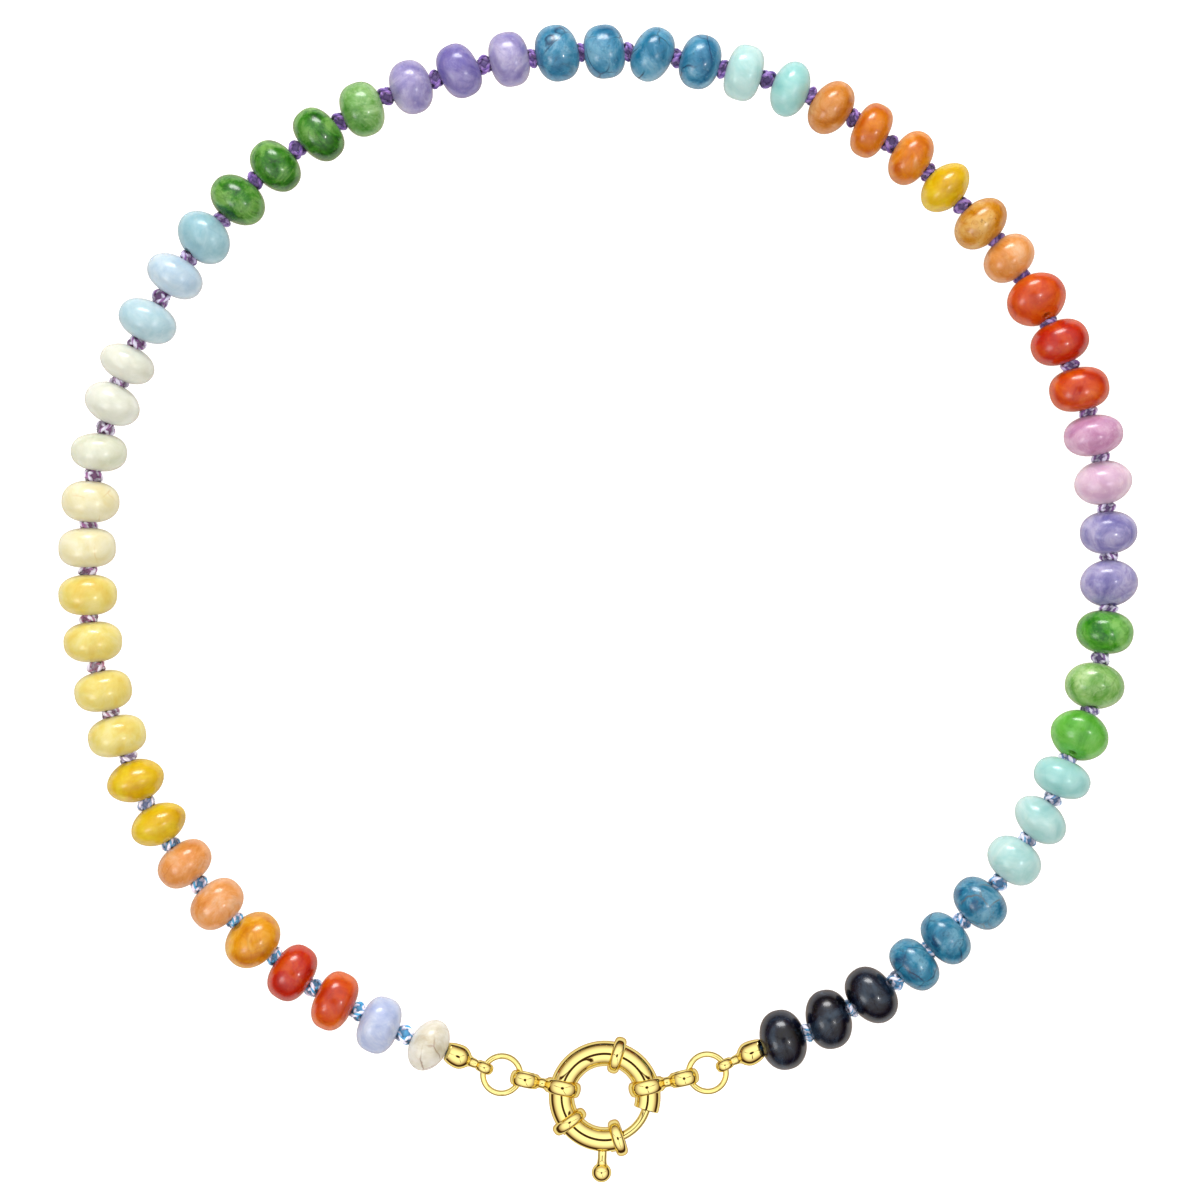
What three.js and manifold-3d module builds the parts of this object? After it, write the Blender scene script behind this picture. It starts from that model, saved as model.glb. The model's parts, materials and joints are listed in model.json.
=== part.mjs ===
// Beaded gemstone necklace, a whole loop lying on a flat surface at z = 0.
// 59 drilled stones hang on knotted silk, closed by a round gold spring clasp.
// Millimetres, +Z up. Seen from above, the clasp lies towards -Y.

import * as THREE from 'three';
import { mergeVertices } from 'three/addons/utils/BufferGeometryUtils.js';
import Module from 'manifold-3d';

const wasm = await Module();
wasm.setup();

// Stones
const beadDiameter = 7.8;
const beadThickness = 5.6;
const drillDiameter = 1.0;
const beadSides = 12;
const shoulderShare = 0.72;
const bandShare = 0.22;

// Silk
const knotLength = 1.02;
const knotDiameter = 1.9;
const knotEndDiameter = 1.3;
const knotSink = 0.45;
const knotSides = 6;
const threadClearance = 0.05;
const threadDiameter = drillDiameter - 2 * threadClearance;
const endKnotDiameter = 1.9;
const strandGap = 0.3;
const leftStrandCount = 29;

// Bead tips: a hollow cup over the end knot, a short neck and a loop
const tipClearance = 0.3;
const tipWall = 0.4;
const tipLoopWire = 0.65;
const tipLoopClearance = 0.25;
const tipNeckDiameter = 0.8;
const tipNeckLength = 0.95;
const tipSeatClearance = 0.3;
const tipLeanAngle = 4;
const cupSides = 12;
const cupRows = 4;

// Jump rings
const ringWire = 0.75;
const ringDiameter = 5.8;
const ringTilt = 8;

// End links: an eye round the clasp's tube, an eye round the jump ring, a neck between
const linkWall = 0.65;
const linkWidth = 1.85;
const linkClearance = 0.25;
const linkNeckLength = 0.6;
const linkNeckWidth = 1.1;
const smallEyeInner = 2.8;

// Clasp
const claspDiameter = 14.7;
const tubeDiameter = 3.2;
const boltDiameter = 1.2;
const boltClearance = 0.3;
const bandWidth = 1.65;
const bandHeight = 0.95;
const mouthAngle = -72.2;
const bandAngles = [73.6, 215.5, mouthAngle];
const seatAngle = -17.5;
const seatDepth = 0.6;
const leverAngle = -92.4;
const leverLength = 2.7;
const leverBallDiameter = 2.4;
const boltTailLength = 1.5;
const claspDrop = 3.1;
const claspBearing = 270.7;

// How finely the round wires are cut
const tubeSides = 12;
const boreSides = 8;
const wireSides = 6;
const ringSteps = 14;
const loopSteps = 12;
const arcStepAngle = 15;

// Each stone in order from the clasp's left, over the top, to its right.
// wide and thick are shares of the bead's size, lean and tip are degrees, and round is the
// power of its rounded outline. next is the way to the next stone as a share of the pitch.
const beads = [
  { stone: 'moonstone', wide: 0.93, thick: 0.91, lean: -10, tip: 0, round: 2.0, next: 1.09 },
  { stone: 'periwinkle', wide: 0.99, thick: 0.95, lean: 4, tip: 0, round: 2.6, next: 1.03 },
  { stone: 'carnelian', wide: 1.05, thick: 0.94, lean: 5, tip: 0, round: 2.6, next: 1.03 },
  { stone: 'deep red', wide: 1.02, thick: 0.98, lean: 4, tip: 0, round: 2.5, next: 1.05 },
  { stone: 'amber', wide: 1.06, thick: 1.07, lean: -2, tip: 20, round: 2.2, next: 1.03 },
  { stone: 'peach', wide: 0.99, thick: 1.03, lean: 1, tip: 0, round: 2.3, next: 1.05 },
  { stone: 'peach', wide: 1.0, thick: 0.98, lean: 1, tip: 0, round: 2.3, next: 0.96 },
  { stone: 'golden', wide: 1.01, thick: 0.96, lean: -3, tip: 0, round: 1.9, next: 1.0 },
  { stone: 'golden', wide: 1.02, thick: 1.02, lean: -7, tip: 0, round: 1.9, next: 0.98 },
  { stone: 'butter', wide: 1.02, thick: 0.98, lean: -7, tip: 0, round: 2.4, next: 0.96 },
  { stone: 'butter', wide: 1.01, thick: 0.97, lean: -4, tip: 0, round: 2.4, next: 1.02 },
  { stone: 'butter', wide: 1.02, thick: 0.97, lean: -5, tip: 0, round: 2.4, next: 0.96 },
  { stone: 'butter', wide: 1.02, thick: 0.98, lean: -2, tip: 0, round: 2.4, next: 0.96 },
  { stone: 'cream', wide: 0.99, thick: 0.95, lean: 3, tip: 0, round: 2.6, next: 0.94 },
  { stone: 'cream', wide: 1.0, thick: 1.0, lean: 4, tip: 0, round: 2.3, next: 1.02 },
  { stone: 'milk', wide: 0.98, thick: 0.91, lean: 8, tip: 0, round: 2.3, next: 1.02 },
  { stone: 'milk', wide: 1.0, thick: 0.96, lean: -8, tip: 0, round: 2.1, next: 0.87 },
  { stone: 'milk', wide: 0.98, thick: 0.87, lean: -1, tip: 0, round: 2.1, next: 0.96 },
  { stone: 'pale aqua', wide: 1.05, thick: 0.96, lean: 2, tip: 0, round: 2.2, next: 1.07 },
  { stone: 'pale aqua', wide: 1.02, thick: 0.93, lean: 3, tip: 0, round: 2.2, next: 0.98 },
  { stone: 'aquamarine', wide: 1.02, thick: 1.07, lean: -7, tip: -15, round: 2.0, next: 1.03 },
  { stone: 'jade', wide: 1.02, thick: 1.05, lean: 7, tip: 0, round: 2.1, next: 1.03 },
  { stone: 'jade', wide: 0.98, thick: 1.0, lean: 5, tip: 0, round: 2.2, next: 1.09 },
  { stone: 'jade', wide: 1.01, thick: 0.97, lean: 8, tip: 0, round: 2.4, next: 1.02 },
  { stone: 'light jade', wide: 0.96, thick: 1.01, lean: -8, tip: 0, round: 2.4, next: 1.09 },
  { stone: 'lavender', wide: 0.94, thick: 1.0, lean: -4, tip: 0, round: 2.3, next: 1.03 },
  { stone: 'lavender', wide: 0.96, thick: 0.96, lean: 10, tip: 0, round: 2.5, next: 1.05 },
  { stone: 'lavender', wide: 0.95, thick: 0.96, lean: 2, tip: 0, round: 2.5, next: 0.98 },
  { stone: 'steel blue', wide: 0.99, thick: 1.05, lean: 8, tip: 0, round: 2.3, next: 0.96 },
  { stone: 'steel blue', wide: 0.94, thick: 0.99, lean: 8, tip: 0, round: 2.5, next: 0.98 },
  { stone: 'steel blue', wide: 0.97, thick: 0.97, lean: -19, tip: 0, round: 2.2, next: 0.98 },
  { stone: 'steel blue', wide: 0.95, thick: 0.98, lean: -4, tip: 0, round: 2.3, next: 0.92 },
  { stone: 'amazonite', wide: 0.98, thick: 0.87, lean: 1, tip: 0, round: 2.8, next: 1.0 },
  { stone: 'amazonite', wide: 0.99, thick: 0.9, lean: 3, tip: 0, round: 2.1, next: 0.91 },
  { stone: 'honey', wide: 1.0, thick: 0.96, lean: -7, tip: 0, round: 2.1, next: 0.94 },
  { stone: 'orange', wide: 0.98, thick: 0.83, lean: 6, tip: 0, round: 2.6, next: 0.98 },
  { stone: 'orange', wide: 1.0, thick: 0.92, lean: 6, tip: 0, round: 2.2, next: 0.92 },
  { stone: 'golden', wide: 1.0, thick: 0.96, lean: -1, tip: 0, round: 1.9, next: 1.03 },
  { stone: 'honey', wide: 1.03, thick: 1.01, lean: 2, tip: 0, round: 2.1, next: 0.91 },
  { stone: 'peach', wide: 0.96, thick: 1.0, lean: 5, tip: 0, round: 2.2, next: 1.0 },
  { stone: 'deep red', wide: 1.07, thick: 1.12, lean: -2, tip: 30, round: 2.0, next: 1.0 },
  { stone: 'deep red', wide: 1.04, thick: 1.05, lean: -4, tip: 0, round: 2.2, next: 1.03 },
  { stone: 'carnelian', wide: 1.04, thick: 1.04, lean: -8, tip: 0, round: 2.4, next: 0.98 },
  { stone: 'pink', wide: 1.04, thick: 0.98, lean: -5, tip: 0, round: 2.2, next: 0.98 },
  { stone: 'pale pink', wide: 1.01, thick: 1.06, lean: 1, tip: 0, round: 2.0, next: 1.02 },
  { stone: 'violet', wide: 0.99, thick: 1.03, lean: 1, tip: 0, round: 2.2, next: 1.03 },
  { stone: 'violet', wide: 1.01, thick: 1.1, lean: 7, tip: 15, round: 2.0, next: 1.0 },
  { stone: 'bright green', wide: 1.0, thick: 1.04, lean: 2, tip: 0, round: 2.2, next: 1.11 },
  { stone: 'mottled green', wide: 1.03, thick: 1.08, lean: 7, tip: 15, round: 2.1, next: 1.05 },
  { stone: 'bright green', wide: 1.03, thick: 1.13, lean: -4, tip: 30, round: 1.9, next: 0.94 },
  { stone: 'amazonite', wide: 1.01, thick: 0.91, lean: 3, tip: 0, round: 2.3, next: 0.96 },
  { stone: 'amazonite', wide: 1.0, thick: 0.97, lean: -11, tip: 0, round: 2.0, next: 0.98 },
  { stone: 'amazonite', wide: 0.99, thick: 1.04, lean: -1, tip: 0, round: 2.2, next: 1.11 },
  { stone: 'denim', wide: 1.01, thick: 1.03, lean: -2, tip: 0, round: 2.3, next: 1.0 },
  { stone: 'denim', wide: 0.99, thick: 0.95, lean: -1, tip: 0, round: 2.3, next: 0.83 },
  { stone: 'denim', wide: 0.98, thick: 0.93, lean: 3, tip: 0, round: 2.4, next: 1.07 },
  { stone: 'midnight', wide: 1.05, thick: 1.08, lean: 6, tip: 0, round: 2.2, next: 1.0 },
  { stone: 'midnight', wide: 1.04, thick: 1.08, lean: -13, tip: 0, round: 2.2, next: 1.02 },
  { stone: 'midnight', wide: 1.05, thick: 1.1, lean: -7, tip: 0, round: 2.2, next: 0 },
];

const radians = THREE.MathUtils.degToRad;

// Sizes worked out from those above
const beadPitch = beadThickness + knotLength;
const ringRadius = (ringDiameter - ringWire) / 2;
const claspRadius = (claspDiameter - tubeDiameter) / 2;
const tubeRadius = tubeDiameter / 2;
const boltRadius = boltDiameter / 2;
const boreRadius = boltRadius + boltClearance;
const bandRadius = tubeRadius + bandHeight;
const claspHeight = bandRadius;
const degreesPerLength = 180 / (Math.PI * claspRadius);
const slotHalfWidth = boltRadius + boltClearance;
const slotMargin = slotHalfWidth * degreesPerLength;
const slotStop = bandAngles[1] - 360 + (bandWidth / 2) * degreesPerLength;
const boltTravel = leverAngle - slotStop - slotMargin;
const bigEyeInner = tubeRadius + linkClearance;
const bigEyeOuter = bigEyeInner + linkWall;
const smallEyeOuter = smallEyeInner / 2 + linkWall;
const eyeSpacing = bigEyeOuter + linkNeckLength + smallEyeOuter;
const smallEyePull = smallEyeInner / 2 - ringWire / 2 - linkClearance;
const armReach = claspRadius + eyeSpacing + smallEyePull + ringRadius;
const cupInner = endKnotDiameter / 2 + tipClearance;
const cupOuter = cupInner + tipWall;
const tipLoopInner = ringWire / 2 + tipLoopClearance;
const tipLoopRadius = tipLoopInner + tipLoopWire / 2;
const cupCentre = tipSeatClearance + cupOuter;
const tipLoopCentre = cupCentre + cupOuter + tipNeckLength + tipLoopRadius;
const tipReach = tipLoopCentre + ringRadius;
const tipAlong = tipReach * Math.cos(radians(tipLeanAngle));
const tipAside = tipReach * Math.sin(radians(tipLeanAngle));

// A closed solid from a three.js geometry, and a geometry back from a solid
function solid(geometry) {
  const bare = geometry.clone();
  bare.deleteAttribute('normal');
  bare.deleteAttribute('uv');
  const merged = mergeVertices(bare, 1e-4);
  return new wasm.Manifold(new wasm.Mesh({
    numProp: 3,
    vertProperties: Float32Array.from(merged.attributes.position.array),
    triVerts: Uint32Array.from(merged.index.array),
  }));
}

function geometryOf(body) {
  const mesh = body.getMesh();
  const geometry = new THREE.BufferGeometry();
  geometry.setAttribute('position', new THREE.BufferAttribute(mesh.vertProperties, 3));
  geometry.setIndex(new THREE.BufferAttribute(mesh.triVerts, 1));
  geometry.computeVertexNormals();
  return geometry;
}

function fuse(geometries) {
  return geometries.map(solid).reduce((whole, piece) => whole.add(piece));
}

// A turned solid with its axis along X, from rows of (radius, place along the axis)
function turned(rows, sides) {
  const points = rows.map(([radius, along]) => new THREE.Vector2(radius, along));
  const geometry = new THREE.LatheGeometry(points, sides, Math.PI / sides);
  geometry.rotateZ(-Math.PI / 2);
  return geometry;
}

// An arc of a circle about Z, which wires and tubes follow
class RingArc extends THREE.Curve {
  constructor(radius, from, to) {
    super();
    this.radius = radius;
    this.from = radians(from);
    this.to = radians(to);
  }

  getPoint(share, target = new THREE.Vector3()) {
    const angle = this.from + share * (this.to - this.from);
    return target.set(this.radius * Math.cos(angle), this.radius * Math.sin(angle), 0);
  }
}

function polygon(radius, sides) {
  const points = [];
  for (let side = 0; side < sides; side += 1) {
    const angle = ((side + 0.5) / sides) * 2 * Math.PI;
    points.push(new THREE.Vector2(radius * Math.cos(angle), radius * Math.sin(angle)));
  }
  return points;
}

// A round bar of even thickness bent along an arc
function bentBar(barRadius, sides, arcRadius, from, to) {
  return new THREE.ExtrudeGeometry(new THREE.Shape(polygon(barRadius, sides)), {
    steps: Math.max(2, Math.round(Math.abs(to - from) / arcStepAngle)),
    extrudePath: new RingArc(arcRadius, from, to),
  });
}

// The stones and the silk

// A facet turned down keeps the stone's true width, so its corners stand a little further out
function beadGeometry(bead) {
  const cornerRadius = (bead.wide * beadDiameter) / 2 / Math.cos(Math.PI / beadSides);
  const halfThick = (bead.thick * beadThickness) / 2;
  const shoulder = halfThick * (1 - shoulderShare ** bead.round) ** (1 / bead.round);
  const band = halfThick * bandShare;
  const geometry = turned([
    [0, -halfThick],
    [shoulderShare * cornerRadius, -shoulder],
    [cornerRadius, -band],
    [cornerRadius, band],
    [shoulderShare * cornerRadius, shoulder],
    [0, halfThick],
  ], beadSides);
  geometry.rotateY(-radians(bead.tip));
  geometry.computeBoundingBox();
  return geometry;
}

// Half the length that a leaning or tipped stone takes up along the string
function beadReach(bead) {
  const off = Math.acos(Math.cos(radians(bead.lean)) * Math.cos(radians(bead.tip)));
  const thick = bead.thick * beadThickness * Math.cos(off);
  const wide = bead.wide * beadDiameter * Math.sin(off);
  return Math.hypot(thick, wide) / 2;
}

// The loop's radius, at which the string and the clasp's two arms just close it
function findLoopRadius(stringLength, firstReach, lastReach, ringSpan) {
  let low = stringLength / (2 * Math.PI);
  let high = 2 * low;
  for (let step = 0; step < 60; step += 1) {
    const radius = (low + high) / 2;
    const open = openAngle(radius, stringLength, firstReach, lastReach);
    const first = Math.hypot(radius + tipAside, firstReach);
    const last = Math.hypot(radius + tipAside, lastReach);
    const spanSquared = first ** 2 + last ** 2 - 2 * first * last * Math.cos(open);
    if (open < 0 || spanSquared < ringSpan ** 2) {
      low = radius;
    } else {
      high = radius;
    }
  }
  return high;
}

// The angle at the loop's centre from an end stone to the jump ring
function tipAngle(radius, reach) {
  return Math.atan(reach / (radius + tipAside));
}

// The angle at the loop's centre between the two jump rings
function openAngle(radius, stringLength, firstReach, lastReach) {
  const tips = tipAngle(radius, firstReach) + tipAngle(radius, lastReach);
  return 2 * Math.PI - stringLength / radius - tips;
}

const firstBead = beads[0];
const lastBead = beads[beads.length - 1];
const firstReach = (firstBead.thick * beadThickness) / 2 + tipAlong;
const lastReach = (lastBead.thick * beadThickness) / 2 + tipAlong;
const stringLength = beads.reduce((sum, bead) => sum + bead.next, 0) * beadPitch;
const ringSpan = 2 * Math.sqrt(armReach ** 2 - claspDrop ** 2);
const loopRadius = findLoopRadius(stringLength, firstReach, lastReach, ringSpan);
const loopOpening = openAngle(loopRadius, stringLength, firstReach, lastReach);
const firstAngle = radians(claspBearing) - loopOpening / 2 - tipAngle(loopRadius, firstReach);

// Every stone with its own shape, its angle round the loop and the height of its middle
function threadBeads() {
  const threaded = [];
  let along = 0;
  for (const bead of beads) {
    const geometry = beadGeometry(bead);
    const angle = firstAngle - along / loopRadius;
    threaded.push({ bead, geometry, angle, height: -geometry.boundingBox.min.z });
    along += bead.next * beadPitch;
  }
  return threaded;
}

const threaded = threadBeads();

// Puts a piece that was made along X on the loop, pointing clockwise
function putOnLoop(geometry, angle, height, lean = 0) {
  geometry.rotateZ(angle - Math.PI / 2 + radians(lean));
  geometry.translate(loopRadius * Math.cos(angle), loopRadius * Math.sin(angle), height);
  return geometry;
}

// The knot that fills the space between two stones
function knotBetween(before, after) {
  const start = before.angle - beadReach(before.bead) / loopRadius;
  const end = after.angle + beadReach(after.bead) / loopRadius;
  const half = Math.max(0, ((start - end) * loopRadius) / 2) + knotSink;
  const geometry = turned([
    [0, -half],
    [knotEndDiameter / 2, -half],
    [knotDiameter / 2, 0],
    [knotEndDiameter / 2, half],
    [0, half],
  ], knotSides);
  return putOnLoop(geometry, (start + end) / 2, (before.height + after.height) / 2);
}

// Half a knot, cut flat where the two strands meet at the back
function halfKnot(strandEnd, angle, height, direction) {
  const outer = strandEnd.angle - (direction * beadReach(strandEnd.bead)) / loopRadius;
  const length = Math.abs(outer - angle) * loopRadius - strandGap / 2;
  const rows = [[0, -knotSink], [knotEndDiameter / 2, -knotSink], [knotDiameter / 2, length], [0, length]];
  const geometry = turned(rows, knotSides);
  if (direction < 0) {
    geometry.rotateZ(Math.PI);
  }
  return putOnLoop(geometry, outer, height);
}

// The thread that leaves an end stone and is knotted inside the bead tip
function endThread() {
  const threadRadius = threadDiameter / 2;
  const knotRadius = endKnotDiameter / 2;
  const flat = knotRadius / 2;
  return fuse([
    turned([[0, -knotSink], [threadRadius, -knotSink], [threadRadius, cupCentre], [0, cupCentre]], knotSides),
    turned([
      [0, cupCentre - knotRadius],
      [knotRadius, cupCentre - flat],
      [knotRadius, cupCentre + flat],
      [0, cupCentre + knotRadius],
    ], knotSides),
  ]);
}

// Where an end stone's outer face is, which way the bead tip leaves it and how far it falls.
// The clasp's weight draws the tip a little outwards from the string's line.
function arm(endBead, direction) {
  const half = (endBead.bead.thick * beadThickness) / 2;
  const string = endBead.angle - (direction * Math.PI) / 2;
  const heading = string + direction * radians(tipLeanAngle);
  const faceX = loopRadius * Math.cos(endBead.angle) + half * Math.cos(string);
  const faceY = loopRadius * Math.sin(endBead.angle) + half * Math.sin(string);
  const fall = Math.asin((endBead.height - ringNearHeight) / tipLoopCentre);
  return {
    heading,
    fall,
    face: new THREE.Vector3(faceX, faceY, endBead.height),
    ring: new THREE.Vector3(
      faceX + tipReach * Math.cos(heading),
      faceY + tipReach * Math.sin(heading),
      ringHeight,
    ),
  };
}

const ringHeight = claspHeight + ringRadius * Math.sin(radians(ringTilt));
const ringNearHeight = ringHeight + ringRadius * Math.sin(radians(ringTilt));
const arms = [arm(threaded[0], -1), arm(threaded[threaded.length - 1], 1)];

// Turns and moves a geometry or a solid's geometry to an arm's end face
function putOnArm(geometry, place) {
  geometry.rotateY(place.fall);
  geometry.rotateZ(place.heading);
  geometry.translate(place.face.x, place.face.y, place.face.z);
  return geometry;
}

function strand(members, place, joint) {
  const pieces = members.map(({ bead, geometry, angle, height }) => (
    putOnLoop(geometry, angle, height, bead.lean)
  ));
  for (let index = 1; index < members.length; index += 1) {
    pieces.push(knotBetween(members[index - 1], members[index]));
  }
  pieces.push(joint);
  pieces.push(putOnArm(geometryOf(endThread()), place));
  return geometryOf(fuse(pieces));
}

const firstHalf = threaded.slice(0, leftStrandCount);
const secondHalf = threaded.slice(leftStrandCount);
const backBefore = firstHalf[firstHalf.length - 1];
const backAfter = secondHalf[0];
const backStart = backBefore.angle - beadReach(backBefore.bead) / loopRadius;
const backEnd = backAfter.angle + beadReach(backAfter.bead) / loopRadius;
const backAngle = (backStart + backEnd) / 2;
const backHeight = (backBefore.height + backAfter.height) / 2;

// The gold pieces

// A bead tip along X from the end stone's face: a cup open towards the stone, a neck and a loop
function beadTip() {
  const mouth = threadDiameter / 2 + tipClearance;
  const outer = [];
  const inner = [];
  const outerStart = Math.asin(mouth / cupOuter);
  const innerStart = Math.asin(mouth / cupInner);
  for (let row = 0; row <= cupRows; row += 1) {
    const share = row / cupRows;
    const outerAngle = outerStart + share * (Math.PI - outerStart);
    const innerAngle = innerStart + share * (Math.PI - innerStart);
    outer.push([cupOuter * Math.sin(outerAngle), cupCentre - cupOuter * Math.cos(outerAngle)]);
    inner.push([cupInner * Math.sin(innerAngle), cupCentre - cupInner * Math.cos(innerAngle)]);
  }
  outer[cupRows][0] = 0;
  inner[cupRows][0] = 0;
  const cup = turned([...inner.reverse(), ...outer], cupSides);
  const neckRadius = tipNeckDiameter / 2;
  const neckStart = cupCentre + cupInner + tipWall / 2;
  const neckEnd = tipLoopCentre - tipLoopInner - tipLoopWire / 4;
  const neck = turned([
    [0, neckStart],
    [neckRadius, neckStart],
    [neckRadius, neckEnd - tipLoopWire / 2],
    [neckRadius / 2, neckEnd],
    [0, neckEnd],
  ], wireSides);
  const loop = new THREE.TorusGeometry(tipLoopRadius, tipLoopWire / 2, wireSides, loopSteps);
  loop.rotateX(Math.PI / 2);
  loop.translate(tipLoopCentre, 0, 0);
  return geometryOf(fuse([cup, neck, loop]));
}

function jumpRing(place) {
  const ring = new THREE.TorusGeometry(ringRadius, ringWire / 2, wireSides, ringSteps);
  ring.rotateY(radians(ringTilt));
  ring.rotateZ(place.heading);
  ring.translate(place.ring.x, place.ring.y, place.ring.z);
  return ring;
}

// A flat-sided eye about Y, whose wall is square to X and Z
function linkEye(inner, outer) {
  const middle = (inner + outer) / 2;
  const edge = linkWidth / 4;
  const rows = [
    [inner, -edge],
    [middle, -linkWidth / 2],
    [outer, -edge],
    [outer, edge],
    [middle, linkWidth / 2],
    [inner, edge],
    [inner, -edge],
  ];
  const points = rows.map(([radius, along]) => new THREE.Vector2(radius, along));
  return new THREE.LatheGeometry(points, ringSteps);
}

// An end link along X from the clasp's tube to the jump ring, standing on edge
function endLink() {
  const smallEye = linkEye(smallEyeInner / 2, smallEyeOuter);
  smallEye.translate(eyeSpacing, 0, 0);
  const neckStart = bigEyeInner + linkWall / 2;
  const neckEnd = eyeSpacing - smallEyeInner / 2 - linkWall / 2;
  const neck = turned([
    [0, neckStart],
    [linkNeckWidth / 2, neckStart],
    [linkNeckWidth / 2, neckEnd],
    [0, neckEnd],
  ], knotSides);
  return geometryOf(fuse([linkEye(bigEyeInner, bigEyeOuter), smallEye, neck]));
}

// A raised half-round band soldered round the tube
function band(angle) {
  const inner = (boreRadius + tubeRadius) / 2;
  const crown = bandHeight / 3;
  const geometry = turned([
    [inner, -bandWidth / 2],
    [bandRadius - crown, -bandWidth / 2],
    [bandRadius, -bandWidth / 5],
    [bandRadius, bandWidth / 5],
    [bandRadius - crown, bandWidth / 2],
    [inner, bandWidth / 2],
    [inner, -bandWidth / 2],
  ], tubeSides);
  geometry.rotateZ(Math.PI / 2);
  geometry.translate(claspRadius, 0, 0);
  geometry.rotateZ(radians(angle));
  return geometry;
}

// The slot in the tube's outer wall, in which the lever's stem slides
function leverSlot() {
  const from = radians(leverAngle - boltTravel - slotMargin);
  const to = radians(leverAngle + slotMargin);
  const outline = new THREE.Shape();
  outline.absarc(0, 0, claspRadius + bandRadius, from, to, false);
  outline.absarc(0, 0, claspRadius, to, from, true);
  const geometry = new THREE.ExtrudeGeometry(outline, {
    depth: 2 * slotHalfWidth,
    bevelEnabled: false,
    curveSegments: ringSteps,
  });
  geometry.translate(0, 0, -slotHalfWidth);
  return geometry;
}

// The hollow C-shaped tube, from the bolt's mouth clockwise round to the bolt's seat
function claspBody() {
  const from = mouthAngle;
  const to = seatAngle - 360;
  const overrun = arcStepAngle / 2;
  const tube = bentBar(tubeRadius, tubeSides, claspRadius, from, to);
  const bore = bentBar(boreRadius, boreSides, claspRadius, from + overrun, to - overrun);
  const bands = bandAngles.map(band);
  const body = fuse([tube, ...bands]).subtract(solid(bore)).subtract(solid(leverSlot()));
  return geometryOf(body);
}

// The sprung bolt: a curved tongue across the gap, with a stem and a ball to draw it back
function claspBolt() {
  const noseAngle = seatAngle + seatDepth * degreesPerLength;
  const tailAngle = leverAngle - boltTailLength * degreesPerLength;
  const tongue = bentBar(boltRadius, boreSides, claspRadius, noseAngle, tailAngle);
  const ballRadius = leverBallDiameter / 2;
  const ballCentre = claspRadius + tubeRadius + leverLength;
  const flat = ballRadius / 3;
  const ring = ballRadius * Math.SQRT1_2;
  const lever = turned([
    [0, claspRadius],
    [boltRadius, claspRadius],
    [boltRadius, ballCentre - ring],
    [ballRadius, ballCentre - flat],
    [ballRadius, ballCentre + flat],
    [ring, ballCentre + ring],
    [0, ballCentre + ballRadius],
  ], boreSides);
  lever.rotateZ(radians(leverAngle));
  return geometryOf(fuse([tongue, lever]));
}

// Materials and assembly

const stoneMaterial = { color: 0xd9c7a0, roughness: 0.15, metalness: 0 };
const goldMaterial = { color: 0xe8b04a, roughness: 0.15, metalness: 1 };

function named(name, geometry, finish) {
  const mesh = new THREE.Mesh(geometry, new THREE.MeshStandardMaterial(finish));
  mesh.name = name;
  return mesh;
}

const necklace = new THREE.Group();
const [leftArm, rightArm] = arms;

necklace.add(named(
  'bead_strand_left',
  strand(firstHalf, leftArm, halfKnot(backBefore, backAngle, backHeight, 1)),
  stoneMaterial,
));
necklace.add(named(
  'bead_strand_right',
  strand(secondHalf, rightArm, halfKnot(backAfter, backAngle, backHeight, -1)),
  stoneMaterial,
));

// The clasp hangs by the same drop below the line between the two jump rings
const ringMiddle = leftArm.ring.clone().add(rightArm.ring).multiplyScalar(0.5);
const ringLine = Math.atan2(rightArm.ring.y - leftArm.ring.y, rightArm.ring.x - leftArm.ring.x);
const claspCentre = new THREE.Vector3(
  ringMiddle.x + claspDrop * Math.sin(ringLine),
  ringMiddle.y - claspDrop * Math.cos(ringLine),
  claspHeight,
);

for (const [side, place] of [['left', leftArm], ['right', rightArm]]) {
  necklace.add(named(`bead_tip_${side}`, putOnArm(beadTip(), place), goldMaterial));
  necklace.add(named(`jump_ring_${side}`, jumpRing(place), goldMaterial));

  const linkHeading = Math.atan2(place.ring.y - claspCentre.y, place.ring.x - claspCentre.x);
  const link = named(`end_link_${side}`, endLink(), goldMaterial);
  link.rotation.z = linkHeading;
  link.position.set(
    claspCentre.x + claspRadius * Math.cos(linkHeading),
    claspCentre.y + claspRadius * Math.sin(linkHeading),
    claspHeight,
  );
  necklace.add(link);
}

const clasp = new THREE.Group();
clasp.position.copy(claspCentre);
clasp.add(named('clasp_body', claspBody(), goldMaterial));
clasp.add(named('clasp_bolt', claspBolt(), goldMaterial));
necklace.add(clasp);

// The origin is on the surface, under the middle of the whole
necklace.updateMatrixWorld(true);
const middle = new THREE.Box3().setFromObject(necklace, true).getCenter(new THREE.Vector3());
necklace.position.set(-middle.x, -middle.y, 0);

export default necklace;
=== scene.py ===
"""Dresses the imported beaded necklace: drilled gemstones on knotted silk and a gold spring clasp.

Metres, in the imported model's frame: the surface that it lies on is z = 0, and the clasp is at -Y.
"""

import json
import math
import random
from typing import NamedTuple

import bmesh
import bpy
from mathutils import Matrix, Vector, noise

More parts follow.
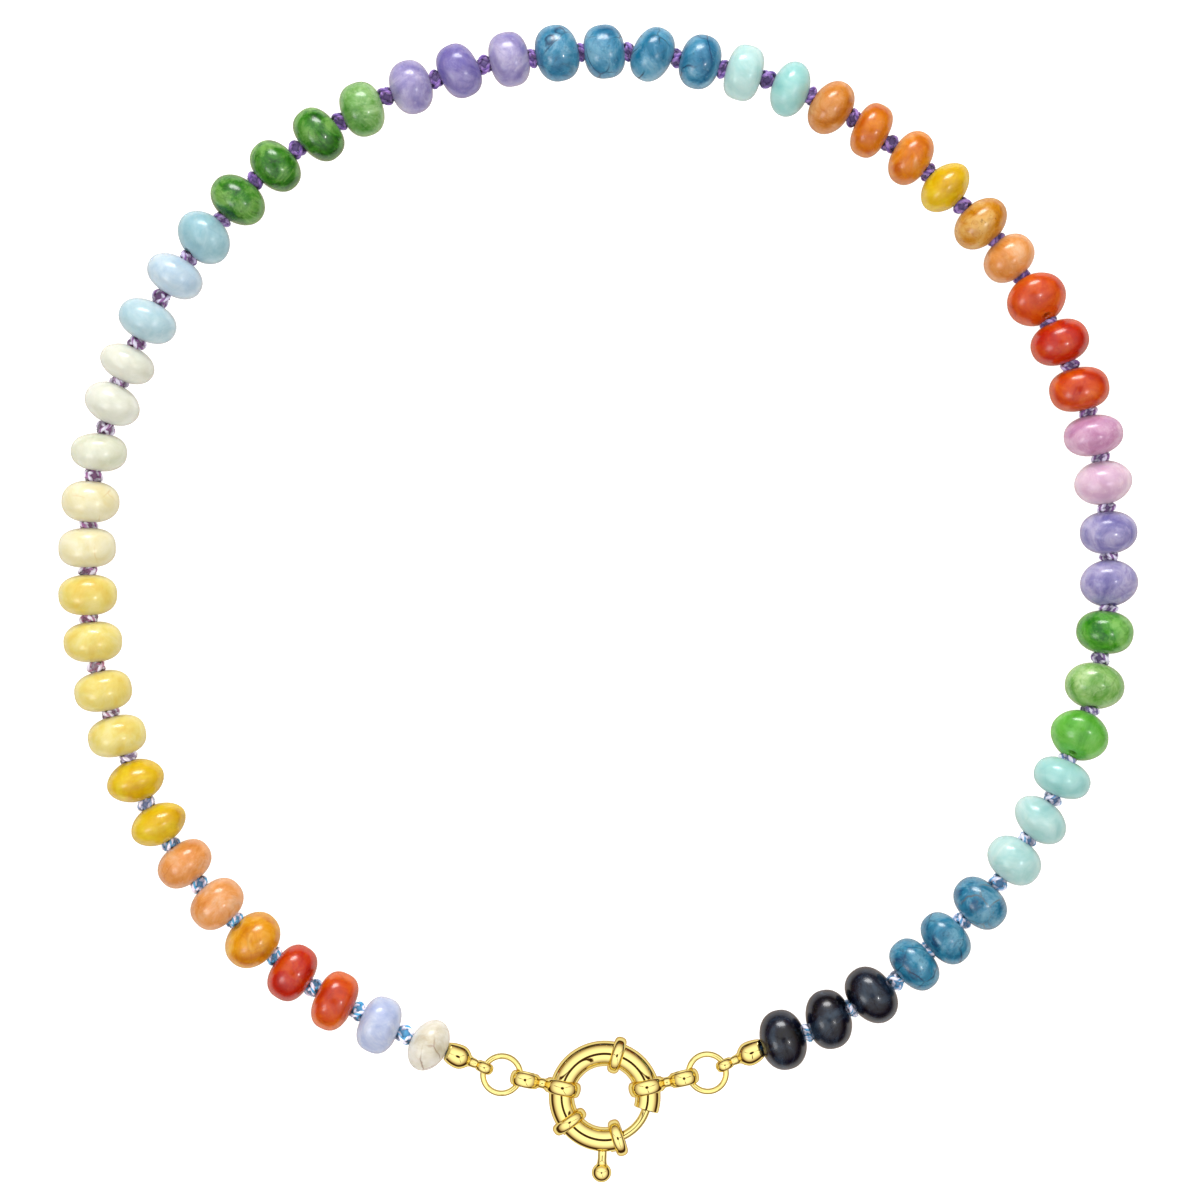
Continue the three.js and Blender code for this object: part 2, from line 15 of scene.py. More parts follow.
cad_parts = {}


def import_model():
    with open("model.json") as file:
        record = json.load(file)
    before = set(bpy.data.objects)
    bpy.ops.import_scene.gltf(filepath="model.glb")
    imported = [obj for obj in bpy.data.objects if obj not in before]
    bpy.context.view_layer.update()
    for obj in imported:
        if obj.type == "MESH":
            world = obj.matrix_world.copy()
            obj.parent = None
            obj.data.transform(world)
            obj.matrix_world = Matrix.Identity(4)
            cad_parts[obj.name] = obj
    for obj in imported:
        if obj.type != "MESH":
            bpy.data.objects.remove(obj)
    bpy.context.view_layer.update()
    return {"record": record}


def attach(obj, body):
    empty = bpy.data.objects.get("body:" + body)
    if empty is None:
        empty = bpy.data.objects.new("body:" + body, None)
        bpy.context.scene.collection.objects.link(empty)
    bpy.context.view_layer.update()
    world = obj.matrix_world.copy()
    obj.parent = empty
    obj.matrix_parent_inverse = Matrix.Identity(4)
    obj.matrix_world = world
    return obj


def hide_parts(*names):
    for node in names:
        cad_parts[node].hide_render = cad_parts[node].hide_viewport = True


MM = 0.001
TURN = 2 * math.pi

# The string: where its loop lies and how the stones follow each other on it
LOOP_CENTRE = Vector((-0.045, 5.322, 0)) * MM
LOOP_RADIUS = 68.7863 * MM
FIRST_ANGLE = math.radians(250.66)
BEAD_DIAMETER = 7.8 * MM
BEAD_THICKNESS = 5.6 * MM
KNOT_LENGTH = 1.02 * MM
DRILL_RADIUS = 0.5 * MM
DRILL_RIM = 0.3 * MM
DRILL_SOFTNESS = 0.3  # share of the rim that is rounded
FIRST_HALF_BEADS = 29

# The stones' unevenness, as shares of their size, and how wide a lump is
BEAD_OVAL = 0.006
BEAD_WEDGE = 0.025
BEAD_LUMP = 0.008
BEAD_LUMP_SIZE = 2.2 * MM

# The silk
CORD_RADIUS = 0.32 * MM
PLY_RADIUS = 0.18 * MM
PLY_OFFSET = 0.16 * MM
PLY_TONES = [0.0, 1.0, 0.7]
KNOT_DRIFT = 0.3 * MM
THREAD_RADIUS = 0.4 * MM
KNOT_RADIUS = 1.38 * MM
KNOT_SINK = 0.42 * MM
END_KNOT_RADIUS = 0.95 * MM
KNOT_WINDS = 2  # times round the string
KNOT_LOBES = 3  # times along it and back
KNOT_TWISTS = 13  # of the plies round each other
KNOT_SPREAD = 0.85
KNOT_WAIST = 0.1

# The gold pieces
CUP_CENTRE = 1.8 * MM
CUP_RADIUS = 1.65 * MM
CUP_WALL = 0.4 * MM
CUP_MOUTH = 1.13 * MM
CUP_MOUTH_INNER = 0.9 * MM
CUP_STRETCH = 1.5
CUP_STRETCH_INNER = 2.05
CUP_SHOULDER = math.radians(118)
CUP_TAPER = 0.9 * MM
CUP_TO_NECK = 0.55 * MM
CUP_LIP = 0.28 * MM
CUP_LIP_FADE = 1.1 * MM
TIP_LEAN = math.radians(4)
TIP_NECK_RADIUS = 0.66 * MM
TIP_NECK_END_RADIUS = 0.528 * MM
TIP_LOOP_INNER = 0.58 * MM
TIP_LOOP_WALL = 0.7 * MM
TIP_LOOP_WIDTH = 1.5 * MM
TIP_LOOP_CENTRE = 5.5 * MM
RING_RADIUS = 2.525 * MM
RING_WIRE = 0.41 * MM
RING_TILT = math.radians(8)
CLASP_RADIUS = 5.82 * MM
TUBE_RADIUS = 1.72 * MM
BORE_RADIUS = 0.9 * MM
BAND_RADIUS = 2.55 * MM
BAND_WIDTH = 1.65 * MM
BAND_SINK = 0.05 * MM
BAND_ROUND = 0.8  # power of its section
TUBE_RIM = 0.1 * MM
SHARP_EDGE = math.radians(40)
BAND_ANGLES = [73.6, 215.5, -72.2]
MOUTH_ANGLE = -72.2
SEAT_ANGLE = -17.5
SEAT_DEPTH_ANGLE = 6.0
LEVER_ANGLE = -92.4
BOLT_TRAVEL = 34.9
SLOT_MARGIN = 9.0
SLOT_HALF_HEIGHT = 0.8 * MM
BOLT_RADIUS = 0.6 * MM
BOLT_TAIL_ANGLE = 15.0
LEVER_LENGTH = 2.7 * MM
LEVER_BALL_RADIUS = 1.32 * MM
LEVER_MEET_ANGLE = math.radians(36)  # where the stem runs into the ball
STEM_FLARE_START = 0.9 * MM
STEM_FLARE_MIDDLE = 0.4 * MM
STEM_FLARE_END = 0.12 * MM
STEM_FLARE_SLOPE = 0.1 * MM
NOSE_TIP = 0.05  # share of the bolt's radius
LINK_WALL = 0.65 * MM
LINK_WIDTH = 2.0 * MM
BIG_EYE_INNER = 1.85 * MM
SMALL_EYE_INNER = 1.4 * MM
EYE_SPACING = 5.15 * MM
EYE_RIM = 0.12 * MM
EYE_ROUND = 0.9  # power of its section
LINK_NECK_RADIUS = 0.7 * MM
LINK_NECK_FLARE = 1.25
LINK_NECK_SINK = 0.45  # shares of the eye's wall
LINK_NECK_TAPER = 0.6
TIP_NECK_SINK = 0.4

# How many sides the round shapes have
BEAD_SIDES = 64
PLY_SIDES = 6
KNOT_CORE_SIDES = 14
THREAD_SIDES = 10
CUP_SIDES = 48
RING_STEPS = 96
RING_SIDES = 20
EYE_SIDES = 64
LINK_NECK_SIDES = 32
TUBE_SIDES = 40
BAND_SIDES = 56
BOLT_SIDES = 24
LEVER_SIDES = 40


class Pattern(NamedTuple):
    """Patches made of noise: its scale and kind, where they begin and end, and how strong they are."""

    scale: float
    detail: float
    roughness: float
    distortion: float
    low: float
    high: float
    share: float


# The stones' patterns
CLOUDS = (210, 5, 0.62, 0.8)
CLOUD_SPREAD = 0.12
CLOUD_SPREAD_FAINT = 0.15
WISPS = Pattern(620, 3, 0.6, 1.2, 0.5, 0.72, 0.6)
FLECKS = Pattern(1150, 3, 0.6, 0, 0.58, 0.72, 0.5)
SPECKS = Pattern(1500, 3, 0.6, 0, 0.6, 0.72, 0.7)
# Painted light: stones paler where their surface faces sideways and down, as if lit through from the
# white floor
PAINTED_RIM_LIGHT_START = 0.6  # height of the surface's normal where the painted rim light begins
PAINTED_RIM_LIGHT_BY_GLOW = 1.6
VEIN_CELL_SCALE = 190.0
VEIN_WIDTH = 0.03
VEIN_PATCH_SCALE = 260
VEIN_PATCH_TOP = 0.62
VEIN_REACH = 0.15
VEIN_DARKNESS = 1.4
VEIN_BEND_SCALE = 300.0
VEIN_BEND = 1.6 * MM
GLOW_DEPTH = 1.4 * MM

# The silk's and the gold's patterns, and the silk's painted shade
SILK_PATCHES = (700, 2, 0.5)
SILK_UNEVENNESS = 2.5
SILK_TONE_EDGE = (0.35, 0.65)
SILK_PAINTED_SHADE_SPAN = (0.9, 0.66, 0.7)  # painted shade towards the string's line: from the surface inwards, and how dark
FIBRES = (5200, 3, 0.6)
FIBRE_DEPTH = 0.06 * MM
GOLD_TONES = ("#ecd888", "#f0de92")
GOLD_CLOUDS = Pattern(90, 2, 0.5, 0, 0.35, 0.65, 1.0)
GOLD_WEAR = Pattern(900, 3, 0.5, 0, 0.3, 0.9, 0.12)

# The studio: how bright white looks in it, what gloss adds to a stone, and the dome's brightness
STUDIO_LIGHT = 1.21
STONE_GLOSS = 0.04
# the most that the painted rim light lightens a stone
PAINTED_RIM_LIGHT = 0.55
DOME_TOP = 1.5
DOME_LOW = 0.42
DOME_DARK = 0.06
FLOOR_GLOW = 0.95
FLOOR_FALL = 0.45
PAPER_GLOW = 0.8
PAPER_SIZE = 2.0
LAMP_TARGET = Vector((0, 0, 3)) * MM
SHADE_TINT = (1.0, 0.5, 0.2, 1)
LIGHT_TINT = (1.0, 0.99, 0.97, 1)

# Where the dome's dark parts end: from dark to lit, by height, depth or distance from straight above
SEAM_BEARINGS = [-72.2, 18, 162]
SEAM_EDGE = (0.018, 0.045)
SEAM_LEAST_REACH = 0.55
SEAM_END = (0.75, 0.9)
HOLE_EDGE = (0.15, 0.22)
HORIZON_EDGE = (0.04, 0.24)
DOME_RISE = (0.05, 0.95)
GROUND_EDGE = (0.24, 0.42)
GROUND_FALL = (0.6, 1.0)

# The camera looks straight down on the frame's middle
CAMERA_HEIGHT = 0.9
SENSOR_WIDTH = 36
VIEW_WIDTH = 161.4 * MM
VIEW_CENTRE = Vector((0.197, 0.319, 4)) * MM


class Bead(NamedTuple):
    """A stone's kind, its size as shares of the usual one, and how it sits on the string."""

    stone: str
    wide: float
    thick: float
    lean: float  # degrees, seen from above
    tip: float  # degrees, towards the camera
    round: float  # power of its rounded outline
    next: float  # way to the next stone, as a share of the pitch


# In order from the clasp's left, over the top, to its right
BEADS = [
    Bead("moonstone", 0.93, 0.91, -10, 0, 2.0, 1.09),
    Bead("periwinkle", 0.99, 0.95, 4, 0, 2.6, 1.03),
    Bead("carnelian", 1.05, 0.94, 5, 0, 2.6, 1.03),
    Bead("deep red", 1.02, 0.98, 4, 0, 2.5, 1.05),
    Bead("amber", 1.06, 1.07, -2, 20, 2.2, 1.03),
    Bead("peach", 0.99, 1.03, 1, 0, 2.3, 1.05),
    Bead("peach", 1.0, 0.98, 1, 0, 2.3, 0.96),
    Bead("golden", 1.01, 0.96, -3, 0, 1.9, 1.0),
    Bead("golden", 1.02, 1.02, -7, 0, 1.9, 0.98),
    Bead("butter", 1.02, 0.98, -7, 0, 2.4, 0.96),
    Bead("butter", 1.01, 0.97, -4, 0, 2.4, 1.02),
    Bead("butter", 1.02, 0.97, -5, 0, 2.4, 0.96),
    Bead("butter", 1.02, 0.98, -2, 0, 2.4, 0.96),
    Bead("cream", 0.99, 0.95, 3, 0, 2.6, 0.94),
    Bead("cream", 1.0, 1.0, 4, 0, 2.3, 1.02),
    Bead("greenish milk", 0.98, 0.91, 8, 0, 2.3, 1.02),
    Bead("milk", 1.0, 0.96, -8, 0, 2.1, 0.87),
    Bead("milk", 0.98, 0.87, -1, 0, 2.1, 0.96),
    Bead("pale aqua", 1.05, 0.96, 2, 0, 2.2, 1.07),
    Bead("ice blue", 1.02, 0.93, 3, 0, 2.2, 0.98),
    Bead("aquamarine", 1.02, 1.07, -7, -15, 2.0, 1.03),
    Bead("jade", 1.02, 1.05, 7, 0, 2.1, 1.03),
    Bead("jade", 0.98, 1.0, 5, 0, 2.2, 1.09),
    Bead("jade", 1.01, 0.97, 8, 0, 2.4, 1.02),
    Bead("light jade", 0.96, 1.01, -8, 0, 2.4, 1.09),
    Bead("lavender", 0.94, 1.0, -4, 0, 2.3, 1.03),
    Bead("deep lavender", 0.96, 0.96, 10, 0, 2.5, 1.05),
    Bead("lavender", 0.95, 0.96, 2, 0, 2.5, 0.98),
    Bead("steel blue", 0.99, 1.05, 8, 0, 2.3, 0.96),
    Bead("steel blue", 0.94, 0.99, 8, 0, 2.5, 0.98),
    Bead("cracked blue", 0.97, 0.97, -19, 0, 2.2, 0.98),
    Bead("steel blue", 0.95, 0.98, -4, 0, 2.3, 0.92),
    Bead("amazonite", 0.98, 0.87, 1, 0, 2.8, 1.0),
    Bead("deep amazonite", 0.99, 0.9, 3, 0, 2.1, 0.91),
    Bead("honey", 1.0, 0.96, -7, 0, 2.1, 0.94),
    Bead("orange", 0.98, 0.83, 6, 0, 2.6, 0.98),
    Bead("orange", 1.0, 0.92, 6, 0, 2.2, 0.92),
    Bead("golden", 1.0, 0.96, -1, 0, 1.9, 1.03),
    Bead("speckled honey", 1.03, 1.01, 2, 0, 2.1, 0.91),
    Bead("peach", 0.96, 1.0, 5, 0, 2.2, 1.0),
    Bead("carnelian", 1.07, 1.12, -2, 30, 2.0, 1.0),
    Bead("deep red", 1.04, 1.05, -4, 0, 2.2, 1.03),
    Bead("carnelian", 1.04, 1.04, -8, 0, 2.4, 0.98),
    Bead("pink", 1.04, 0.98, -5, 0, 2.2, 0.98),
    Bead("pale pink", 1.01, 1.06, 1, 0, 2.0, 1.02),
    Bead("violet", 0.99, 1.03, 1, 0, 2.2, 1.03),
    Bead("violet", 1.01, 1.1, 7, 15, 2.0, 1.0),
    Bead("spotted green", 1.0, 1.04, 2, 0, 2.2, 1.11),
    Bead("mottled green", 1.03, 1.08, 7, 15, 2.1, 1.05),
    Bead("bright green", 1.03, 1.13, -4, 30, 1.9, 0.94),
    Bead("deep amazonite", 1.01, 0.91, 3, 0, 2.3, 0.96),
    Bead("amazonite", 1.0, 0.97, -11, 0, 2.0, 0.98),
    Bead("amazonite", 0.99, 1.04, -1, 0, 2.2, 1.11),
    Bead("cracked denim", 1.01, 1.03, -2, 0, 2.3, 1.0),
    Bead("denim", 0.99, 0.95, -1, 0, 2.3, 0.83),
    Bead("denim", 0.98, 0.93, 3, 0, 2.4, 1.07),
    Bead("midnight", 1.05, 1.08, 6, 0, 2.2, 1.0),
    Bead("midnight", 1.04, 1.08, -13, 0, 2.2, 1.02),
    Bead("midnight", 1.05, 1.1, -7, 0, 2.2, 0),
]


class Stone(NamedTuple):
    """A kind of stone: its colours as they look, and how strongly each pattern shows in it."""

    deep: str
    body: str
    pale: str
    vein: str
    clouds: float
    specks: float
    veins: float
    glow: float


STONES = {
    "moonstone": Stone("#d8cfb8", "#efebdc", "#faf7f0", "#8a5a34", 0.7, 0.15, 0.5, 0.4),
    "periwinkle": Stone("#a9b9e2", "#c6d0ec", "#e2e8f6", "#8fa0cc", 0.5, 0.0, 0.1, 0.4),
    "carnelian": Stone("#be440c", "#dc5e10", "#ea7c3c", "#7a2408", 0.6, 0.3, 0.15, 0.4),
    "deep red": Stone("#b0300c", "#cc4408", "#de6636", "#701608", 0.6, 0.3, 0.1, 0.4),
    "amber": Stone("#cc8014", "#eaa426", "#f6ca62", "#a05c10", 0.6, 0.15, 0.15, 0.4),
    "peach": Stone("#d68a46", "#eeaa6a", "#f6cca6", "#b8622a", 0.6, 0.15, 0.2, 0.4),
    "golden": Stone("#ca980a", "#e6be0e", "#f0d848", "#a06c0c", 0.4, 0.1, 0.1, 0.4),
    "butter": Stone("#e8ca64", "#efdf86", "#f6eeb2", "#e0b048", 0.25, 0.0, 0.0, 0.4),
    "cream": Stone("#ecdfaa", "#f2ecc6", "#f8f5de", "#d89a4a", 0.3, 0.0, 0.3, 0.4),
    "greenish milk": Stone("#d2d8bc", "#e6e9d4", "#f2f4e6", "#a8ae84", 0.35, 0.1, 0.1, 0.4),
    "milk": Stone("#d8dccc", "#ebede0", "#f6f8f0", "#c2c4a4", 0.3, 0.1, 0.1, 0.4),
    "pale aqua": Stone("#a4ccd8", "#bfdbe4", "#d6e9f0", "#86b4c4", 0.4, 0.0, 0.1, 0.4),
    "ice blue": Stone("#b4cee2", "#cbdfec", "#e0edf5", "#9ab8d0", 0.4, 0.0, 0.1, 0.4),
    "aquamarine": Stone("#8cbeca", "#abd0da", "#c8e2ea", "#6aa2b2", 0.35, 0.0, 0.1, 0.4),
    "jade": Stone("#245c20", "#4c8a3e", "#84b664", "#1c441a", 1.0, 0.5, 0.2, 0.35),
    "light jade": Stone("#4e8c42", "#80b468", "#b4d89c", "#3c7034", 0.9, 0.4, 0.1, 0.4),
    "lavender": Stone("#867eba", "#aaa2ce", "#cec8e4", "#6a629e", 0.7, 0.25, 0.2, 0.4),
    "deep lavender": Stone("#6e64ae", "#8d84be", "#aea6d4", "#5a5096", 0.7, 0.2, 0.2, 0.4),
    "steel blue": Stone("#2e6e94", "#5699bb", "#8cbed6", "#183f5a", 0.75, 0.5, 0.6, 0.4),
    "cracked blue": Stone("#3c7ea2", "#66a6c6", "#98c4d8", "#16303e", 0.8, 0.3, 0.7, 0.4),
    "amazonite": Stone("#9fd4d2", "#c0e4e2", "#d8f0ec", "#84bcbc", 0.35, 0.0, 0.1, 0.4),
    "deep amazonite": Stone("#90cecc", "#acdedb", "#c4e9e6", "#68b0ae", 0.3, 0.0, 0.1, 0.4),
    "honey": Stone("#b4662a", "#d88c42", "#e8b078", "#743c10", 0.55, 0.3, 0.2, 0.4),
    "speckled honey": Stone("#ae641a", "#d49138", "#e8bc70", "#64300c", 0.8, 0.9, 0.2, 0.4),
    "orange": Stone("#c6661a", "#e48e32", "#eeb26e", "#883a0a", 0.45, 0.2, 0.2, 0.4),
    "pink": Stone("#b87ea8", "#d09cc0", "#e8c4da", "#a06494", 0.7, 0.1, 0.1, 0.4),
    "pale pink": Stone("#dab6d2", "#efd4e4", "#f8e8f0", "#bc92b0", 0.7, 0.15, 0.1, 0.4),
    "violet": Stone("#7c76b2", "#9c96c6", "#c4bede", "#605a96", 0.8, 0.25, 0.2, 0.4),
    "bright green": Stone("#4c9a36", "#72c254", "#98d878", "#2a6a1c", 0.35, 0.3, 0.1, 0.4),
    "spotted green": Stone("#3a7a26", "#5caa42", "#92cc72", "#1e5414", 0.8, 0.6, 0.1, 0.4),
    "mottled green": Stone("#6ca850", "#9ecb7e", "#c6e4a8", "#4a7a34", 0.9, 0.4, 0.3, 0.4),
    "cracked denim": Stone("#245c80", "#448aac", "#84b6cc", "#7c5c30", 0.7, 0.4, 0.6, 0.4),
    "denim": Stone("#20587a", "#448dae", "#80b6cc", "#143850", 0.7, 0.7, 0.6, 0.4),
    "midnight": Stone("#262a30", "#30363e", "#464f5b", "#0a0c10", 0.8, 0.5, 0.15, 0.12),
}


# Meshes


def new_object(name, verts, faces):
    """A smooth-shaded mesh object whose faces all look outwards."""
    mesh = bpy.data.meshes.new(name)
    mesh.from_pydata([tuple(v) for v in verts], [], faces)
    shaper = bmesh.new()
    shaper.from_mesh(mesh)
    bmesh.ops.recalc_face_normals(shaper, faces=shaper.faces)
    shaper.to_mesh(mesh)
    shaper.free()
    mesh.shade_smooth()
    piece = bpy.data.objects.new(name, mesh)
    bpy.context.scene.collection.objects.link(piece)
    return piece


def grid_faces(rows, columns, close_rows, first=0):
    """Quads over rows of points, each row a closed ring; the rows may close on each other too."""
    faces = []
    for row in range(rows if close_rows else rows - 1):
        below = first + row * columns
        above = first + ((row + 1) % rows) * columns
        for column in range(columns):
            after = (column + 1) % columns
            faces.append((below + column, below + after, above + after, above + column))
    return faces


def lathe(profile, steps, closed=True):
    """A profile of (along, radius) turned about X. An open one starts and ends on the axis."""
    rings = profile if closed else profile[1:-1]
    verts = []
    for along, radius in rings:
        for step in range(steps):
            angle = TURN * step / steps
            verts.append(Vector((along, radius * math.cos(angle), radius * math.sin(angle))))
    faces = grid_faces(len(rings), steps, closed)
    if not closed:
        last = (len(rings) - 1) * steps
        for end, ring in ((profile[0], 0), (profile[-1], last)):
            pole = len(verts)
            verts.append(Vector((end[0], 0, 0)))
            for step in range(steps):
                faces.append((pole, ring + step, ring + (step + 1) % steps))
    return verts, faces


def torus(radius, wire, around, across):
    """A round ring about Z."""
    verts = []
    for step in range(around):
        angle = TURN * step / around
        for side in range(across):
            turn = TURN * side / across
            reach = radius + wire * math.cos(turn)
            verts.append(
                Vector((reach * math.cos(angle), reach * math.sin(angle), wire * math.sin(turn)))
            )
    return verts, grid_faces(around, across, True)


def tube(path, outward, radii, closed):
    """A tube along a path, with the radii of each point's ring, which starts at its outward vector."""
    verts = []
    count = len(path)
    for index, point in enumerate(path):
        before = path[index - 1] if closed or index else point
        after = path[(index + 1) % count] if closed or index < count - 1 else point
        tangent = (after - before).normalized()
        up = outward[index]
        up = (up - tangent * up.dot(tangent)).normalized()
        side = tangent.cross(up)
        ring = radii(index)
        for place, radius in enumerate(ring):
            turn = TURN * place / len(ring)
            verts.append(point + (up * math.cos(turn) + side * math.sin(turn)) * radius)
    sides = len(radii(0))
    faces = grid_faces(count, sides, closed)
    if not closed:
        faces.append(tuple(range(sides)))
        faces.append(tuple(range((count - 1) * sides, count * sides)))
    return verts, faces


def moved(shape, matrix):
    verts, faces = shape
    return [matrix @ v for v in verts], faces


def gathered(shapes):
    """Several shapes' points and faces as one."""
    verts, faces = [], []
    for some_verts, some_faces in shapes:
        first = len(verts)
        verts.extend(some_verts)
        faces.extend(tuple(first + corner for corner in face) for face in some_faces)
    return verts, faces


def combined(piece, shape, operation):
    """Joins a shape to a piece, or cuts it out, with the result applied to the piece's mesh."""
    tool = new_object("tool", *shape)
    modifier = piece.modifiers.new(operation, "BOOLEAN")
    modifier.operation = operation
    modifier.solver = "EXACT"
    modifier.object = tool
    graph = bpy.context.evaluated_depsgraph_get()
    result = bpy.data.meshes.new_from_object(piece.evaluated_get(graph))
    piece.modifiers.clear()
    piece.data = result
    bpy.data.objects.remove(tool)


def soldered(name, shapes):
    """One solid out of shapes that overlap."""
    piece = new_object(name, *shapes[0])
    for shape in shapes[1:]:
        combined(piece, shape, "UNION")
    piece.data.shade_smooth()
    return piece


def bezier(start, first, second, end, steps):
    """Points of a curve between two profile points, without its last one."""
    points = []
    for step in range(steps):
        t = step / steps
        shares = ((1 - t) ** 3, 3 * t * (1 - t) ** 2, 3 * t * t * (1 - t), t**3)
        points.append(
            tuple(
                sum(share * point[axis] for share, point in zip(shares, (start, first, second, end)))
                for axis in (0, 1)
            )
        )
    return points


def finish_piece(piece, material, nodes=(), body="necklace"):
    piece.data.materials.clear()
    piece.data.materials.append(material)
    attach(piece, body)
    if nodes:
        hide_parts(*nodes)


# The stones


def bead_profile(bead):
    """A drilled stone's section: over its outside from rim to rim, and back through the hole."""
    half_thick = bead.thick * BEAD_THICKNESS / 2
    half_wide = bead.wide * BEAD_DIAMETER / 2
    power = 2 / bead.round
    start = math.asin(((DRILL_RADIUS + DRILL_RIM) / half_wide) ** (1 / power))
    steps = 34
    outside = []
    for step in range(steps + 1):
        turn = start + (math.pi - 2 * start) * step / steps
        along = math.copysign(abs(math.cos(turn)) ** power, -math.cos(turn))
        outside.append((half_thick * along, half_wide * math.sin(turn) ** power))
    end = outside[-1][0]
    soft = DRILL_RIM * DRILL_SOFTNESS
    rim_in = [(end - soft, DRILL_RADIUS + soft), (end - DRILL_RIM, DRILL_RADIUS)]
    rim_out = [(-along, radius) for along, radius in reversed(rim_in)]
    return outside + rim_in + rim_out


def bead_shape(bead, chance):
    """The turned stone with the slight unevenness of hand work, tipped towards the camera."""
    verts, faces = lathe(bead_profile(bead), BEAD_SIDES)
    oval = chance.uniform(0, TURN)
    wedge = chance.uniform(0, TURN)
    offset = Vector([chance.uniform(-50, 50) for _ in range(3)])
    half_wide = bead.wide * BEAD_DIAMETER / 2
    uneven = []
    for v in verts:
        around = math.atan2(v.z, v.y)
        reach = math.hypot(v.y, v.z) / half_wide
        lump = BEAD_LUMP * noise.noise(v / BEAD_LUMP_SIZE + offset)
        wide = 1 + reach * (BEAD_OVAL * math.cos(2 * around + oval) + lump)
        along = 1 + reach * BEAD_WEDGE * math.cos(around + wedge) + lump
        uneven.append(Vector((v.x * along, v.y * wide, v.z * wide)))
    tipped = Matrix.Rotation(-math.radians(bead.tip), 3, "Y")
    return [tipped @ v for v in uneven], faces


def bead_reach(bead):
    """Half the length that a leaning or tipped stone takes up along the string."""
    off = math.acos(math.cos(math.radians(bead.lean)) * math.cos(math.radians(bead.tip)))
    thick = bead.thick * BEAD_THICKNESS * math.cos(off)
    wide = bead.wide * BEAD_DIAMETER * math.sin(off)
    return math.hypot(thick, wide) / 2


class Threaded(NamedTuple):
    """A stone's number, row, shape, angle round the loop, and the height of its middle."""

    number: int
    bead: Bead
    shape: tuple
    angle: float
    height: float


def thread_beads():
    threaded = []
    along = 0
    for number, bead in enumerate(BEADS, 1):
        shape = bead_shape(bead, random.Random(number))
        height = -min(v.z for v in shape[0])
        threaded.append(Threaded(number, bead, shape, FIRST_ANGLE - along / LOOP_RADIUS, height))
        along += bead.next * (BEAD_THICKNESS + KNOT_LENGTH)
    return threaded


def on_loop(angle, height, lean=0.0):
    """The place on the loop at an angle, with X along the string, clockwise."""
    place = LOOP_CENTRE + Vector((math.cos(angle), math.sin(angle), 0)) * LOOP_RADIUS
    place.z = height
    return Matrix.Translation(place) @ Matrix.Rotation(angle - math.pi / 2 + lean, 4, "Z")


def make_beads(threaded):
    beads = []
    for place in threaded:
        piece = new_object(f"bead_{place.number:02d}", *place.shape)
        piece.matrix_world = on_loop(place.angle, place.height, math.radians(place.bead.lean))
        side = "left" if place.number <= FIRST_HALF_BEADS else "right"
        material = stone_material(place.number, STONES[place.bead.stone])
        finish_piece(piece, material, [f"bead_strand_{side}"])
        beads.append(piece)
    return beads


# The silk


def knot_shape(half_length, radius, chance):
    """The plies of a cord wound round the string along X, and their core, each with its tone."""
    count = 108
    plies = len(PLY_TONES)
    wide = radius - CORD_RADIUS
    along = max(half_length - CORD_RADIUS, CORD_RADIUS)
    start = chance.uniform(0, TURN)
    hand = chance.choice((-1, 1))
    paths = [[] for _ in range(plies)]
    outward = []
    for index in range(count):
        t = TURN * index / count
        wind = hand * KNOT_WINDS * t + start
        across = KNOT_SPREAD * math.sin(KNOT_LOBES * t)
        reach = wide * math.sqrt(1 - across * across)
        reach *= 1 - KNOT_WAIST * math.cos(KNOT_LOBES * t)
        spoke = Vector((0, math.cos(wind), math.sin(wind)))
        point = spoke * reach + Vector((along * across, 0, 0))
        out = (spoke + Vector((across, 0, 0))).normalized()
        side = out.cross(spoke.cross(Vector((1, 0, 0)))).normalized()
        outward.append(out)
        for ply, path in enumerate(paths):
            twist = TURN * (ply / plies + KNOT_TWISTS * index / count)
            path.append(point + (out * math.cos(twist) + side * math.sin(twist)) * PLY_OFFSET)
    steps = 8
    core = []
    for step in range(steps + 1):
        turn = math.pi * step / steps
        core.append((-half_length * math.cos(turn), (wide - PLY_OFFSET) * math.sin(turn)))
    shapes = [tube(path, outward, lambda _: [PLY_RADIUS] * PLY_SIDES, True) for path in paths]
    core_shape = lathe(core, KNOT_CORE_SIDES, closed=False)
    return list(zip(shapes, PLY_TONES)) + [(core_shape, PLY_TONES[0])]


def thread_shape(start, end):
    """The straight thread through a stone."""
    steps = 4
    path = [start.lerp(end, step / steps) for step in range(steps + 1)]
    up = [Vector((0, 0, 1))] * (steps + 1)
    return tube(path, up, lambda _: [THREAD_RADIUS] * THREAD_SIDES, False)


def knot_places(threaded):
    """Where each knot between two stones lies, with half its length."""
    places = []
    for before, after in zip(threaded, threaded[1:]):
        start = before.angle - bead_reach(before.bead) / LOOP_RADIUS
        end = after.angle + bead_reach(after.bead) / LOOP_RADIUS
        half = max(0.0, (start - end) * LOOP_RADIUS / 2) + KNOT_SINK
        matrix = on_loop((start + end) / 2, (before.height + after.height) / 2)
        places.append((before.number, matrix, half))
    return places


def silk_values(piece, parts, threaded):
    """Stores at each point of the silk its ply's tone, and how far it lies from the string's line,
    which sets its painted shade.
    """
    tones = [tone for (verts, _), tone in parts for _ in verts]
    tone = piece.data.attributes.new("tone", "FLOAT", "POINT")
    depth = piece.data.attributes.new("depth", "FLOAT", "POINT")
    for index, vertex in enumerate(piece.data.vertices):
        place = vertex.co - LOOP_CENTRE
        angle = math.atan2(place.y, place.x)
        nearest = min(threaded, key=lambda other: abs(math.remainder(other.angle - angle, TURN)))
        off = math.hypot(math.hypot(place.x, place.y) - LOOP_RADIUS, place.z - nearest.height)
        tone.data[index].value = tones[index]
        depth.data[index].value = off / KNOT_RADIUS


